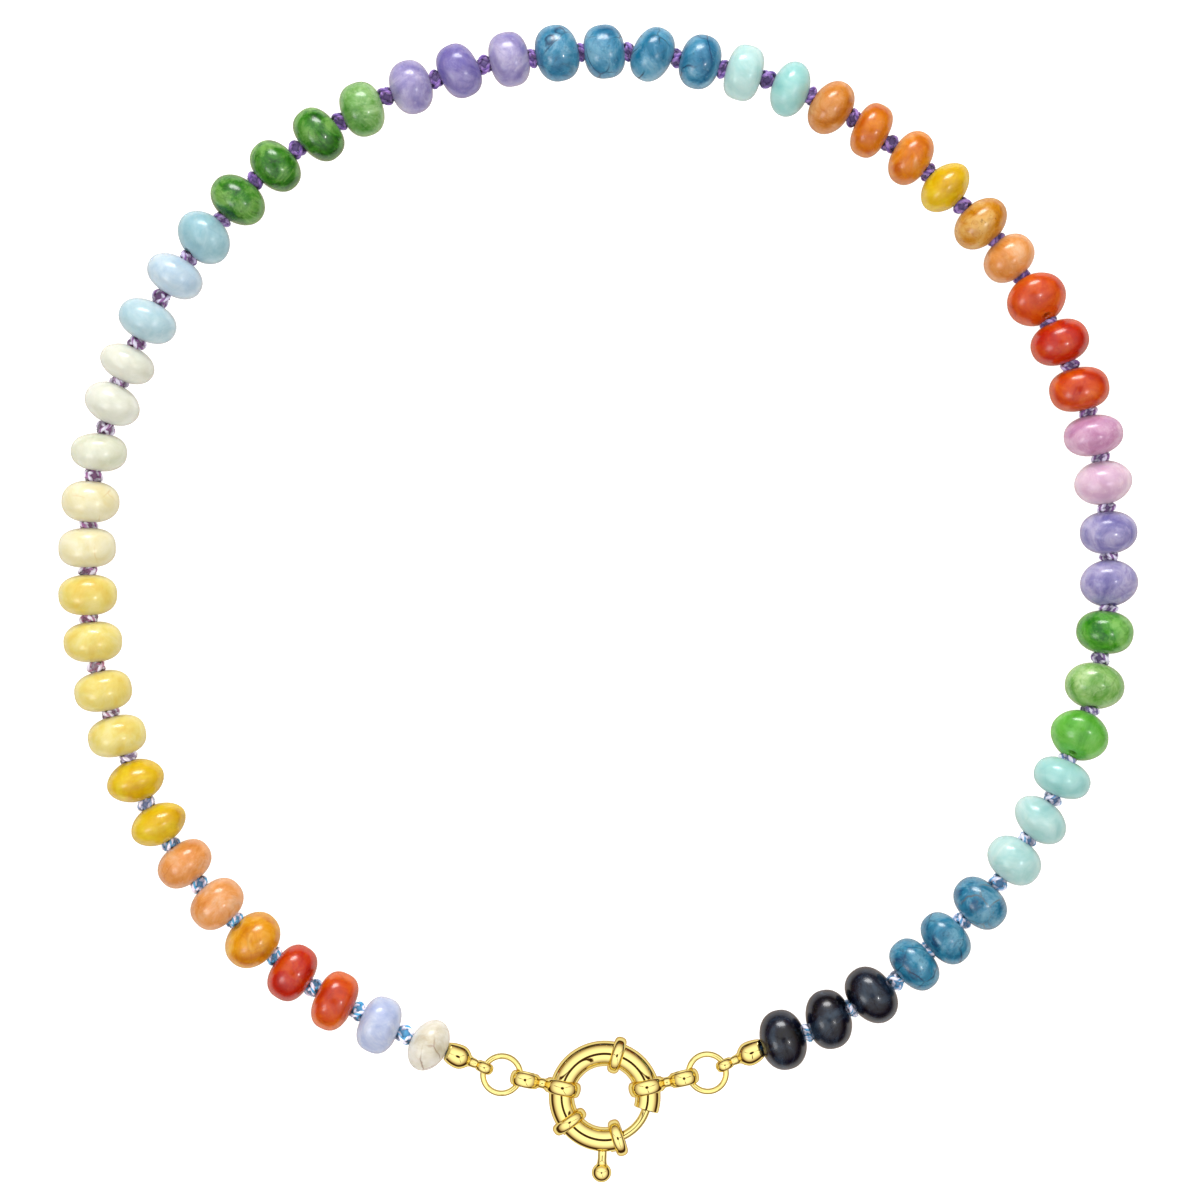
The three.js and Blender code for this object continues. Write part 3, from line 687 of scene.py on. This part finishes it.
def make_silk(threaded, arms, material):
    chance = random.Random(7)
    knots = knot_places(threaded)
    ends = [arm.at(CUP_CENTRE) for arm in arms]
    middles = [ends[0]] + [matrix.translation for _, matrix, _ in knots] + [ends[1]]
    silk = {"left": [], "right": []}
    for number, matrix, half in knots:
        side = "left" if number < FIRST_HALF_BEADS else "right"
        drift = Vector((0, chance.uniform(-KNOT_DRIFT, KNOT_DRIFT), 0))
        place = matrix @ Matrix.Translation(drift)
        for shape, tone in knot_shape(half, KNOT_RADIUS, chance):
            silk[side].append((moved(shape, place), tone))
    for number, (start, end) in enumerate(zip(middles, middles[1:]), 1):
        side = "left" if number <= FIRST_HALF_BEADS else "right"
        silk[side].append((thread_shape(start, end), PLY_TONES[0]))
    for side, arm in zip(("left", "right"), arms):
        place = arm.matrix @ Matrix.Translation((CUP_CENTRE, 0, 0))
        for shape, tone in knot_shape(END_KNOT_RADIUS, END_KNOT_RADIUS, chance):
            silk[side].append((moved(shape, place), tone))
    strings = []
    for side, parts in silk.items():
        piece = new_object(f"silk_{side}", *gathered([shape for shape, _ in parts]))
        silk_values(piece, parts, threaded)
        finish_piece(piece, material, [f"bead_strand_{side}"])
        strings.append(piece)
    return strings


# The gold


class Arm:
    """The place of an end stone's outer face, with X along the bead tip and away from the string."""

    def __init__(self, end, direction):
        half = end.bead.thick * BEAD_THICKNESS / 2
        string = end.angle - direction * math.pi / 2
        self.heading = string + direction * TIP_LEAN
        self.inward = -direction
        ring_height = BAND_RADIUS + RING_RADIUS * math.sin(RING_TILT)
        near_height = ring_height + RING_RADIUS * math.sin(RING_TILT)
        fall = math.asin((end.height - near_height) / TIP_LOOP_CENTRE)
        forward = Vector((math.cos(self.heading), math.sin(self.heading), 0))
        middle = on_loop(end.angle, end.height).translation
        face = middle + Vector((math.cos(string), math.sin(string), 0)) * half
        self.matrix = (
            Matrix.Translation(face)
            @ Matrix.Rotation(self.heading, 4, "Z")
            @ Matrix.Rotation(fall, 4, "Y")
        )
        self.ring = face + forward * (TIP_LOOP_CENTRE + RING_RADIUS)
        self.ring.z = ring_height

    def at(self, along):
        return self.matrix @ Vector((along, 0, 0))


def bead_tip(name, arm, material):
    """A hollow drop over the end knot, with a pointed lip at the stone, a neck and a loop."""
    inside = CUP_RADIUS - CUP_WALL
    steps = 20
    outer_start = math.asin(CUP_MOUTH / CUP_RADIUS)
    inner_start = math.asin(CUP_MOUTH_INNER / inside)

    def drop_point(turn, radius, stretch):
        reach = radius * math.cos(turn)
        return CUP_CENTRE - reach * (stretch if reach > 0 else 1), radius * math.sin(turn)

    cavity, shell = [], []
    for step in range(steps + 1):
        turn = math.pi + (inner_start - math.pi) * step / steps
        cavity.append(drop_point(turn, inside, CUP_STRETCH_INNER))
        turn = outer_start + (CUP_SHOULDER - outer_start) * step / steps
        shell.append(drop_point(turn, CUP_RADIUS, CUP_STRETCH))
    cavity[0] = (CUP_CENTRE + inside, 0)
    start = shell.pop()
    slope = Vector((math.sin(CUP_SHOULDER), math.cos(CUP_SHOULDER))) * CUP_TAPER
    neck_start = (CUP_CENTRE + CUP_RADIUS + CUP_TO_NECK, TIP_NECK_RADIUS)
    taper = bezier(
        start,
        (start[0] + slope.x, start[1] + slope.y),
        (neck_start[0] - CUP_TAPER, TIP_NECK_RADIUS),
        neck_start,
        14,
    )
    neck_end = TIP_LOOP_CENTRE - TIP_LOOP_INNER - TIP_LOOP_WALL * TIP_NECK_SINK
    neck = [neck_start, (neck_end, TIP_NECK_END_RADIUS), (neck_end, 0)]
    verts, faces = lathe(cavity + shell + taper + neck, CUP_SIDES, closed=False)
    for v in verts:
        share = min(1.0, max(0.0, 1 - (v.x - CUP_LIP) / CUP_LIP_FADE))
        aside = max(0.0, arm.inward * v.y) / CUP_MOUTH
        v.x -= CUP_LIP * share * min(1.0, aside) ** 3
    loop = moved(
        band_eye(TIP_LOOP_INNER, TIP_LOOP_WALL, TIP_LOOP_WIDTH),
        Matrix.Translation((TIP_LOOP_CENTRE, 0, 0)),
    )
    piece = soldered(f"gold_{name}", [(verts, faces), loop])
    piece.matrix_world = arm.matrix
    finish_piece(piece, material, [name])


def jump_ring(name, arm, material):
    piece = new_object(f"gold_{name}", *torus(RING_RADIUS, RING_WIRE, RING_STEPS, RING_SIDES))
    piece.matrix_world = (
        Matrix.Translation(arm.ring)
        @ Matrix.Rotation(arm.heading, 4, "Z")
        @ Matrix.Rotation(RING_TILT, 4, "Y")
    )
    finish_piece(piece, material, [name])


def band_eye(inner, wall, width):
    """A plump band with a flat inside and a domed outside, bent into an eye about Y."""
    steps = 18
    profile = [(-width / 2 + EYE_RIM, inner)]
    for step in range(steps + 1):
        turn = math.pi * step / steps
        along = -math.cos(turn) * width / 2
        rise = (wall - EYE_RIM) * math.sin(turn) ** EYE_ROUND
        profile.append((along, inner + EYE_RIM + rise))
    profile.append((width / 2 - EYE_RIM, inner))
    return moved(lathe(profile, EYE_SIDES), Matrix.Rotation(math.pi / 2, 4, "Z"))


def end_link(name, arm, clasp_centre, material):
    """Two eyes and the neck between them, standing on edge round the tube and the jump ring."""
    neck_start = BIG_EYE_INNER + LINK_WALL * LINK_NECK_SINK
    neck_end = EYE_SPACING - SMALL_EYE_INNER - LINK_WALL * LINK_NECK_SINK
    flare = LINK_NECK_RADIUS * LINK_NECK_FLARE
    taper = LINK_WALL * LINK_NECK_TAPER
    profile = [
        (neck_start, 0),
        (neck_start, flare),
        (neck_start + taper, LINK_NECK_RADIUS),
        (neck_end - taper, LINK_NECK_RADIUS),
        (neck_end, flare),
        (neck_end, 0),
    ]
    neck = lathe(profile, LINK_NECK_SIDES, closed=False)
    big = band_eye(BIG_EYE_INNER, LINK_WALL, LINK_WIDTH)
    small = band_eye(SMALL_EYE_INNER, LINK_WALL, LINK_WIDTH)
    small = moved(small, Matrix.Translation((EYE_SPACING, 0, 0)))
    piece = soldered(f"gold_{name}", [big, small, neck])
    toward = arm.ring - clasp_centre
    heading = math.atan2(toward.y, toward.x)
    place = clasp_centre + arc_point(heading)
    piece.matrix_world = Matrix.Translation(place) @ Matrix.Rotation(heading, 4, "Z")
    finish_piece(piece, material, [name])


def arc_point(angle, radius=CLASP_RADIUS):
    return Vector((radius * math.cos(angle), radius * math.sin(angle), 0))


def clasp_tube():
    """The bored tube from the bolt's mouth clockwise round to its seat, its rims slightly rounded."""
    steps = 96
    start = math.radians(MOUTH_ANGLE)
    end = math.radians(SEAT_ANGLE) - TURN
    ease = TUBE_RIM / CLASP_RADIUS
    rows = [(start, BORE_RADIUS + TUBE_RIM), (start, TUBE_RADIUS - TUBE_RIM)]
    rows += [
        (start - ease + (end - start + 2 * ease) * step / steps, TUBE_RADIUS)
        for step in range(steps + 1)
    ]
    rows += [(end, TUBE_RADIUS - TUBE_RIM), (end, BORE_RADIUS + TUBE_RIM)]
    rows += [
        (end + ease + (start - end - 2 * ease) * step / steps, BORE_RADIUS)
        for step in range(steps + 1)
    ]
    verts = []
    for angle, radius in rows:
        spoke = arc_point(angle, 1)
        for side in range(TUBE_SIDES):
            turn = TURN * side / TUBE_SIDES
            up = Vector((0, 0, radius * math.sin(turn)))
            verts.append(arc_point(angle) + spoke * (radius * math.cos(turn)) + up)
    return verts, grid_faces(len(rows), TUBE_SIDES, True)


def band_shape(angle):
    """A plump half-round band round the tube."""
    steps = 16
    inner = (BORE_RADIUS + TUBE_RADIUS) / 2
    base = TUBE_RADIUS - BAND_SINK
    profile = [(-BAND_WIDTH / 2, inner)]
    for step in range(steps + 1):
        turn = math.pi * step / steps
        along = math.copysign(abs(math.cos(turn)) ** BAND_ROUND, -math.cos(turn)) * BAND_WIDTH / 2
        profile.append((along, base + (BAND_RADIUS - base) * math.sin(turn) ** BAND_ROUND))
    profile.append((BAND_WIDTH / 2, inner))
    matrix = (
        Matrix.Rotation(math.radians(angle), 4, "Z")
        @ Matrix.Translation((CLASP_RADIUS, 0, 0))
        @ Matrix.Rotation(math.pi / 2, 4, "Z")
    )
    return moved(lathe(profile, BAND_SIDES), matrix)


def slot_shape():
    """What is cut out of the tube's outer wall for the lever's stem."""
    steps = 24
    start = math.radians(LEVER_ANGLE + SLOT_MARGIN)
    end = math.radians(LEVER_ANGLE - BOLT_TRAVEL - SLOT_MARGIN)
    verts = []
    for step in range(steps + 1):
        angle = start + (end - start) * step / steps
        for radius, height in (
            (CLASP_RADIUS, -SLOT_HALF_HEIGHT),
            (CLASP_RADIUS + 2 * TUBE_RADIUS, -SLOT_HALF_HEIGHT),
            (CLASP_RADIUS + 2 * TUBE_RADIUS, SLOT_HALF_HEIGHT),
            (CLASP_RADIUS, SLOT_HALF_HEIGHT),
        ):
            verts.append(arc_point(angle, radius) + Vector((0, 0, height)))
    faces = grid_faces(steps + 1, 4, False)
    faces += [(0, 1, 2, 3), tuple(steps * 4 + corner for corner in range(4))]
    return verts, faces


def clasp_body(clasp_centre, material):
    piece = soldered("gold_clasp_body", [clasp_tube()] + [band_shape(a) for a in BAND_ANGLES])
    combined(piece, slot_shape(), "DIFFERENCE")
    piece.data.shade_smooth()
    piece.data.set_sharp_from_angle(angle=SHARP_EDGE)
    piece.location = clasp_centre
    finish_piece(piece, material, ["clasp_body"])


def tongue_shape():
    """The curved bolt with a rounded nose."""
    steps = 40
    start = math.radians(SEAT_ANGLE + SEAT_DEPTH_ANGLE)
    end = math.radians(LEVER_ANGLE - BOLT_TAIL_ANGLE)
    nose = 5
    path, widths = [], []
    for step in range(nose):
        turn = math.pi / 2 * step / nose
        path.append(arc_point(start - BOLT_RADIUS / CLASP_RADIUS * (1 - math.cos(turn))))
        widths.append(BOLT_RADIUS * max(NOSE_TIP, math.sin(turn)))
    first = start - BOLT_RADIUS / CLASP_RADIUS
    for step in range(steps + 1):
        path.append(arc_point(first + (end - first) * step / steps))
        widths.append(BOLT_RADIUS)
    up = [Vector((0, 0, 1))] * len(path)
    return tube(path, up, lambda index: [widths[index]] * BOLT_SIDES, False)


def lever_shape():
    """The stem that stands on the bolt, flared into its ball."""
    centre = CLASP_RADIUS + TUBE_RADIUS + LEVER_LENGTH
    meet = centre - LEVER_BALL_RADIUS * math.cos(LEVER_MEET_ANGLE)
    meet_radius = LEVER_BALL_RADIUS * math.sin(LEVER_MEET_ANGLE)
    profile = [(CLASP_RADIUS, 0), (CLASP_RADIUS, BOLT_RADIUS)]
    profile += bezier(
        (meet - STEM_FLARE_START, BOLT_RADIUS),
        (meet - STEM_FLARE_MIDDLE, BOLT_RADIUS),
        (meet - STEM_FLARE_END, meet_radius - STEM_FLARE_SLOPE),
        (meet, meet_radius),
        8,
    )
    steps = 20
    for step in range(steps):
        turn = LEVER_MEET_ANGLE + (math.pi - LEVER_MEET_ANGLE) * step / steps
        along = centre - LEVER_BALL_RADIUS * math.cos(turn)
        profile.append((along, LEVER_BALL_RADIUS * math.sin(turn)))
    profile.append((centre + LEVER_BALL_RADIUS, 0))
    pointed = Matrix.Rotation(math.radians(LEVER_ANGLE), 4, "Z")
    return moved(lathe(profile, LEVER_SIDES, closed=False), pointed)


def clasp_bolt(clasp_centre, material):
    piece = soldered("gold_clasp_bolt", [tongue_shape(), lever_shape()])
    piece.location = clasp_centre
    finish_piece(piece, material, ["clasp_bolt"], body="bolt")


# Materials


def linear(code):
    """A colour such as #c8a060 as the linear values that a shader takes."""
    channels = [int(code[place : place + 2], 16) / 255 for place in (1, 3, 5)]
    return (*[c / 12.92 if c <= 0.04045 else ((c + 0.055) / 1.055) ** 2.4 for c in channels], 1.0)


def albedo(code):
    """The surface colour that looks like code under the studio's light, with the gloss on top."""
    *channels, alpha = linear(code)
    return (*[max(0.0, channel - STONE_GLOSS) / STUDIO_LIGHT for channel in channels], alpha)


class Nodes:
    """A node tree, with short ways to add and join its nodes."""

    def __init__(self, tree):
        self.tree = tree

    def add(self, kind, **settings):
        node = self.tree.nodes.new(kind)
        for name, value in settings.items():
            if hasattr(node, name):
                setattr(node, name, value)
            else:
                node.inputs[name.replace("_", " ").title()].default_value = value
        return node

    def join(self, output, socket):
        self.tree.links.new(output, socket)

    def parts(self, vector):
        """The X, Y and Z of a vector."""
        node = self.add("ShaderNodeSeparateXYZ")
        self.join(vector, node.inputs["Vector"])
        return [node.outputs[axis] for axis in "XYZ"]

    def noise(self, vector, scale, detail=2.0, roughness=0.5, distortion=0.0):
        node = self.add(
            "ShaderNodeTexNoise",
            Scale=scale,
            Detail=detail,
            Roughness=roughness,
            Distortion=distortion,
        )
        self.join(vector, node.inputs["Vector"])
        return node.outputs["Fac"]

    def ramp(self, value, stops):
        """A colour ramp from (place, colour) stops."""
        node = self.add("ShaderNodeValToRGB")
        band = node.color_ramp
        band.elements.remove(band.elements[1])
        band.elements[0].position = stops[0][0]
        band.elements[0].color = stops[0][1]
        for place, colour in stops[1:]:
            band.elements.new(place).color = colour
        self.join(value, node.inputs["Fac"])
        return node.outputs["Color"]

    def span(self, value, low, high, top=1.0, kind="LINEAR"):
        """value stretched from low and high to 0 and top, and held there."""
        node = self.add("ShaderNodeMapRange", interpolation_type=kind)
        node.inputs["From Min"].default_value = low
        node.inputs["From Max"].default_value = high
        node.inputs["To Max"].default_value = top
        self.join(value, node.inputs["Value"])
        return node.outputs["Result"]

    def mix(self, share, under, over):
        """Lays over on under by a share; each may be a socket or a colour."""
        node = self.add("ShaderNodeMix", data_type="RGBA")
        self.join(share, node.inputs["Factor"])
        for source, socket in ((under, node.inputs[6]), (over, node.inputs[7])):
            if isinstance(source, tuple):
                socket.default_value = source
            else:
                self.join(source, socket)
        return node.outputs[2]

    def maths(self, operation, *sources):
        node = self.add("ShaderNodeMath", operation=operation)
        for source, socket in zip(sources, node.inputs):
            if isinstance(source, (int, float)):
                socket.default_value = source
            else:
                self.join(source, socket)
        return node.outputs[0]


class Surface(Nodes):
    """A material's node tree, with its shader and the piece's own coordinates."""

    def __init__(self, name):
        self.material = bpy.data.materials.new(name)
        self.material.use_nodes = True
        super().__init__(self.material.node_tree)
        self.shader = self.tree.nodes["Principled BSDF"]
        self.coordinates = self.add("ShaderNodeTexCoord").outputs["Object"]

    def shifted(self, offset):
        mapping = self.add("ShaderNodeMapping")
        mapping.inputs["Location"].default_value = offset
        self.join(self.coordinates, mapping.inputs["Vector"])
        return mapping.outputs["Vector"]

    def patches(self, vector, pattern, strength=1.0):
        """A share that is high in the patches of a pattern."""
        value = self.noise(vector, *pattern[:4])
        return self.span(value, pattern.low, pattern.high, pattern.share * strength)

    def bump(self, height, distance):
        node = self.add("ShaderNodeBump", Distance=distance)
        self.join(height, node.inputs["Height"])
        self.join(node.outputs["Normal"], self.shader.inputs["Normal"])

    def set(self, **values):
        for name, value in values.items():
            self.shader.inputs[name.replace("_", " ")].default_value = value


def stone_material(number, stone):
    """A polished stone: clouds of its three colours, painted light where it faces sideways and down,
    specks, and veins that follow bent cell walls.
    """
    chance = random.Random(100 + number)
    nodes = Surface(f"stone_{number:02d}")
    vector = nodes.shifted([chance.uniform(-1, 1) for _ in range(3)])
    deep, body, pale, vein = (albedo(code) for code in stone[:4])
    spread = CLOUD_SPREAD + CLOUD_SPREAD_FAINT * (1 - stone.clouds)
    clouds = nodes.noise(vector, *CLOUDS)
    colour = nodes.ramp(clouds, [(0.5 - spread, deep), (0.5, body), (0.5 + spread, pale)])
    colour = nodes.mix(nodes.patches(vector, WISPS, stone.clouds), colour, deep)
    height = nodes.parts(nodes.add("ShaderNodeNewGeometry").outputs["Normal"])[2]
    # Painted light: the colour turns paler where the normal points sideways and down
    rim = nodes.span(height, PAINTED_RIM_LIGHT_START, 0.0, min(PAINTED_RIM_LIGHT, PAINTED_RIM_LIGHT_BY_GLOW * stone.glow))
    colour = nodes.mix(rim, colour, pale)
    colour = nodes.mix(nodes.patches(vector, FLECKS, stone.clouds), colour, pale)
    if stone.specks:
        colour = nodes.mix(nodes.patches(vector, SPECKS, stone.specks), colour, vein)
    if stone.veins:
        colour = nodes.mix(stone_veins(nodes, vector, stone.veins), colour, vein)
    nodes.join(colour, nodes.shader.inputs["Base Color"])
    nodes.set(Roughness=0.25, IOR=1.54, Specular_IOR_Level=0.3)
    nodes.set(Coat_Weight=0.12, Coat_Roughness=0.05)
    nodes.set(Subsurface_Weight=stone.glow, Subsurface_Scale=GLOW_DEPTH)
    nodes.set(Subsurface_Radius=(1.0, 0.75, 0.55), Transmission_Weight=0.8 * stone.glow)
    return nodes.material


def stone_veins(nodes, vector, strength):
    """A share that is high in thin cracks: a bent cell wall, broken up by noise."""
    bend = nodes.add("ShaderNodeTexNoise", Scale=VEIN_BEND_SCALE, Detail=3.0)
    nodes.join(vector, bend.inputs["Vector"])
    shift = nodes.add("ShaderNodeVectorMath", operation="MULTIPLY_ADD")
    shift.inputs[1].default_value = (VEIN_BEND,) * 3
    nodes.join(bend.outputs["Color"], shift.inputs[0])
    nodes.join(vector, shift.inputs[2])
    cells = nodes.add("ShaderNodeTexVoronoi", feature="DISTANCE_TO_EDGE", Scale=VEIN_CELL_SCALE)
    nodes.join(shift.outputs["Vector"], cells.inputs["Vector"])
    wall = nodes.span(cells.outputs["Distance"], VEIN_WIDTH, 0.0)
    patches = nodes.noise(vector, VEIN_PATCH_SCALE, 1)
    here = nodes.span(patches, 0.5 - VEIN_REACH * strength, VEIN_PATCH_TOP)
    darkness = min(1.0, VEIN_DARKNESS * strength)
    return nodes.maths("MULTIPLY", nodes.maths("MULTIPLY", wall, here), darkness)


# The silk's two tones and its painted shade, by the share of the way round from the clasp, clockwise
SILK_MAIN = [
    (0.0, "#3c9ccc"),
    (0.15, "#4a9ecc"),
    (0.21, "#b0708a"),
    (0.25, "#a0689c"),
    (0.33, "#8e5898"),
    (0.38, "#5c3c8c"),
    (0.66, "#543884"),
    (0.72, "#7a4c88"),
    (0.79, "#7c5c98"),
    (0.83, "#5c94c4"),
    (1.0, "#3c9ccc"),
]
SILK_PAINTED_SHADE = [
    (0.0, "#20466c"),
    (0.15, "#2c4068"),
    (0.22, "#4a2434"),
    (0.38, "#2c1c48"),
    (0.68, "#281a44"),
    (0.8, "#2c2850"),
    (0.86, "#20466c"),
    (1.0, "#20466c"),
]
SILK_SECOND = [
    (0.0, "#e4e6f8"),
    (0.15, "#e4def2"),
    (0.33, "#dcd6ec"),
    (0.38, "#8662ac"),
    (0.66, "#8e70b4"),
    (0.72, "#d2cae4"),
    (0.82, "#dedaf0"),
    (1.0, "#e4e6f8"),
]


def silk_material():
    nodes = Surface("dyed_silk")
    x, y, _ = nodes.parts(nodes.shifted(-LOOP_CENTRE))
    turns = nodes.maths("ARCTAN2", nodes.maths("MULTIPLY", x, -1.0), nodes.maths("MULTIPLY", y, -1.0))
    turns = nodes.maths("DIVIDE", turns, TURN)
    share = nodes.maths("FRACT", nodes.maths("ADD", turns, 1.0))
    main, second, painted_shade = (
        nodes.ramp(share, [(place, linear(code)) for place, code in stops])
        for stops in (SILK_MAIN, SILK_SECOND, SILK_PAINTED_SHADE)
    )
    tone, depth = (
        nodes.add("ShaderNodeAttribute", attribute_name=name).outputs["Fac"]
        for name in ("tone", "depth")
    )
    uneven = nodes.maths("SUBTRACT", nodes.noise(nodes.coordinates, *SILK_PATCHES), 0.5)
    tone = nodes.maths("ADD", tone, nodes.maths("MULTIPLY", uneven, SILK_UNEVENNESS))
    colour = nodes.mix(nodes.span(tone, *SILK_TONE_EDGE), main, second)
    # Painted shade: the silk darker towards the string's line, in the hollows of the knots
    colour = nodes.mix(nodes.span(depth, *SILK_PAINTED_SHADE_SPAN), colour, painted_shade)
    nodes.join(colour, nodes.shader.inputs["Base Color"])
    nodes.set(Roughness=0.55, Sheen_Weight=0.4, Sheen_Roughness=0.4)
    nodes.bump(nodes.noise(nodes.coordinates, *FIBRES), FIBRE_DEPTH)
    return nodes.material


def gold_material():
    nodes = Surface("polished_gold")
    clouds = nodes.patches(nodes.coordinates, GOLD_CLOUDS)
    colour = nodes.mix(clouds, *(linear(code) for code in GOLD_TONES))
    nodes.join(colour, nodes.shader.inputs["Base Color"])
    wear = nodes.patches(nodes.coordinates, GOLD_WEAR)
    nodes.join(wear, nodes.shader.inputs["Roughness"])
    nodes.set(Metallic=1.0, Specular_Tint=(0.95, 0.8, 0.5, 1))
    return nodes.material


# The studio


def make_floor():
    reach = PAPER_SIZE
    corners = [(-reach, -reach, 0), (reach, -reach, 0), (reach, reach, 0), (-reach, reach, 0)]
    floor = new_object("studio_floor", corners, [(0, 1, 2, 3)])
    nodes = Surface("pale_paper")
    nodes.set(Base_Color=(0.5, 0.5, 0.5, 1), Roughness=1.0, Specular_IOR_Level=0.0)
    nodes.set(Emission_Color=(1, 1, 1, 1), Emission_Strength=PAPER_GLOW)
    floor.data.materials.append(nodes.material)
    floor.visible_glossy = False
    return floor


def area_light(name, place, size, radiance, receivers):
    """A soft light that faces the object and isn't seen by the camera itself."""
    data = bpy.data.lights.new(name, "AREA")
    data.shape = "ELLIPSE"
    data.size, data.size_y = size
    data.energy = radiance * math.pi * size[0] * size[1]
    lamp = bpy.data.objects.new(name, data)
    lamp.location = place
    lamp.rotation_euler = (LAMP_TARGET - Vector(place)).to_track_quat("-Z", "Y").to_euler()
    lamp.visible_camera = False
    lamp.light_linking.receiver_collection = receivers
    bpy.context.scene.collection.objects.link(lamp)


def dome_seams(nodes, x, y, sideways):
    """0 in the dome's three seams, which run out from straight above, and 1 beside them."""
    turn = nodes.maths("ARCTAN2", y, x)
    nearest = math.pi
    for bearing in SEAM_BEARINGS:
        off = nodes.maths("SUBTRACT", turn, math.radians(bearing))
        off = nodes.maths("ABSOLUTE", nodes.maths("WRAP", off, math.pi, -math.pi))
        nearest = nodes.maths("MINIMUM", nearest, off)
    off = nodes.maths("MULTIPLY", nearest, nodes.maths("MAXIMUM", sideways, SEAM_LEAST_REACH))
    seams = nodes.span(off, *SEAM_EDGE, kind="SMOOTHSTEP")
    return nodes.maths("MAXIMUM", seams, nodes.span(sideways, *SEAM_END, kind="SMOOTHSTEP"))


def make_world():
    """A pale dome whose seams, horizon and middle hole show as thin dark lines in the gold."""
    world = bpy.data.worlds.new("studio")
    world.use_nodes = True
    bpy.context.scene.world = world
    nodes = Nodes(world.node_tree)
    maths = nodes.maths

    def rise(value, edge):
        return nodes.span(value, *edge, kind="SMOOTHSTEP")

    x, y, z = nodes.parts(nodes.add("ShaderNodeTexCoord").outputs["Generated"])
    sideways = maths("SQRT", maths("ADD", maths("MULTIPLY", x, x), maths("MULTIPLY", y, y)))
    lines = maths("MULTIPLY", dome_seams(nodes, x, y, sideways), rise(sideways, HOLE_EDGE))
    sky = maths("ADD", maths("MULTIPLY", rise(z, DOME_RISE), DOME_TOP - DOME_LOW), DOME_LOW)
    sky = maths("MULTIPLY", maths("MULTIPLY", sky, rise(z, HORIZON_EDGE)), lines)
    depth = maths("MULTIPLY", z, -1.0)
    under = maths("SUBTRACT", 1.0, maths("MULTIPLY", rise(depth, GROUND_FALL), FLOOR_FALL))
    ground = maths("MULTIPLY", maths("MULTIPLY", rise(depth, GROUND_EDGE), under), FLOOR_GLOW)
    lit = maths("ADD", maths("ADD", sky, ground), DOME_DARK)
    background = nodes.tree.nodes["Background"]
    nodes.join(lit, background.inputs["Strength"])
    nodes.join(nodes.mix(lit, SHADE_TINT, LIGHT_TINT), background.inputs["Color"])


def make_lights(lit):
    """Three soft lamps for all but the gold, which only mirrors the dome."""
    receivers = bpy.data.collections.new("lit_by_lamps")
    for piece in lit:
        receivers.objects.link(piece)
    area_light("far_window", (-0.05, 0.7, 0.34), (0.5, 0.26), 14, receivers)
    area_light("right_point", (0.42, -0.16, 0.75), (0.05, 0.05), 150, receivers)
    area_light("near_left_fill", (-0.5, -0.32, 0.5), (0.34, 0.34), 4, receivers)


def make_camera():
    data = bpy.data.cameras.new("camera")
    data.sensor_width = SENSOR_WIDTH
    data.lens = SENSOR_WIDTH * CAMERA_HEIGHT / VIEW_WIDTH
    camera = bpy.data.objects.new("camera", data)
    camera.location = VIEW_CENTRE + Vector((0, 0, CAMERA_HEIGHT))
    bpy.context.scene.collection.objects.link(camera)
    bpy.context.scene.camera = camera


def main():
    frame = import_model()
    clasp_centre = Vector(frame["record"]["behaviour"]["joints"][0]["pos_m"])
    threaded = thread_beads()
    arms = [Arm(threaded[0], -1), Arm(threaded[-1], 1)]
    gold = gold_material()
    beads = make_beads(threaded)
    strings = make_silk(threaded, arms, silk_material())
    for side, arm in zip(("left", "right"), arms):
        bead_tip(f"bead_tip_{side}", arm, gold)
        jump_ring(f"jump_ring_{side}", arm, gold)
        end_link(f"end_link_{side}", arm, clasp_centre, gold)
    clasp_body(clasp_centre, gold)
    clasp_bolt(clasp_centre, gold)
    floor = make_floor()
    make_world()
    make_lights([*beads, *strings, floor])
    make_camera()
    scene = bpy.context.scene
    scene.view_settings.view_transform = "Standard"
    scene.cycles.use_denoising = True
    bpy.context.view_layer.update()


main()
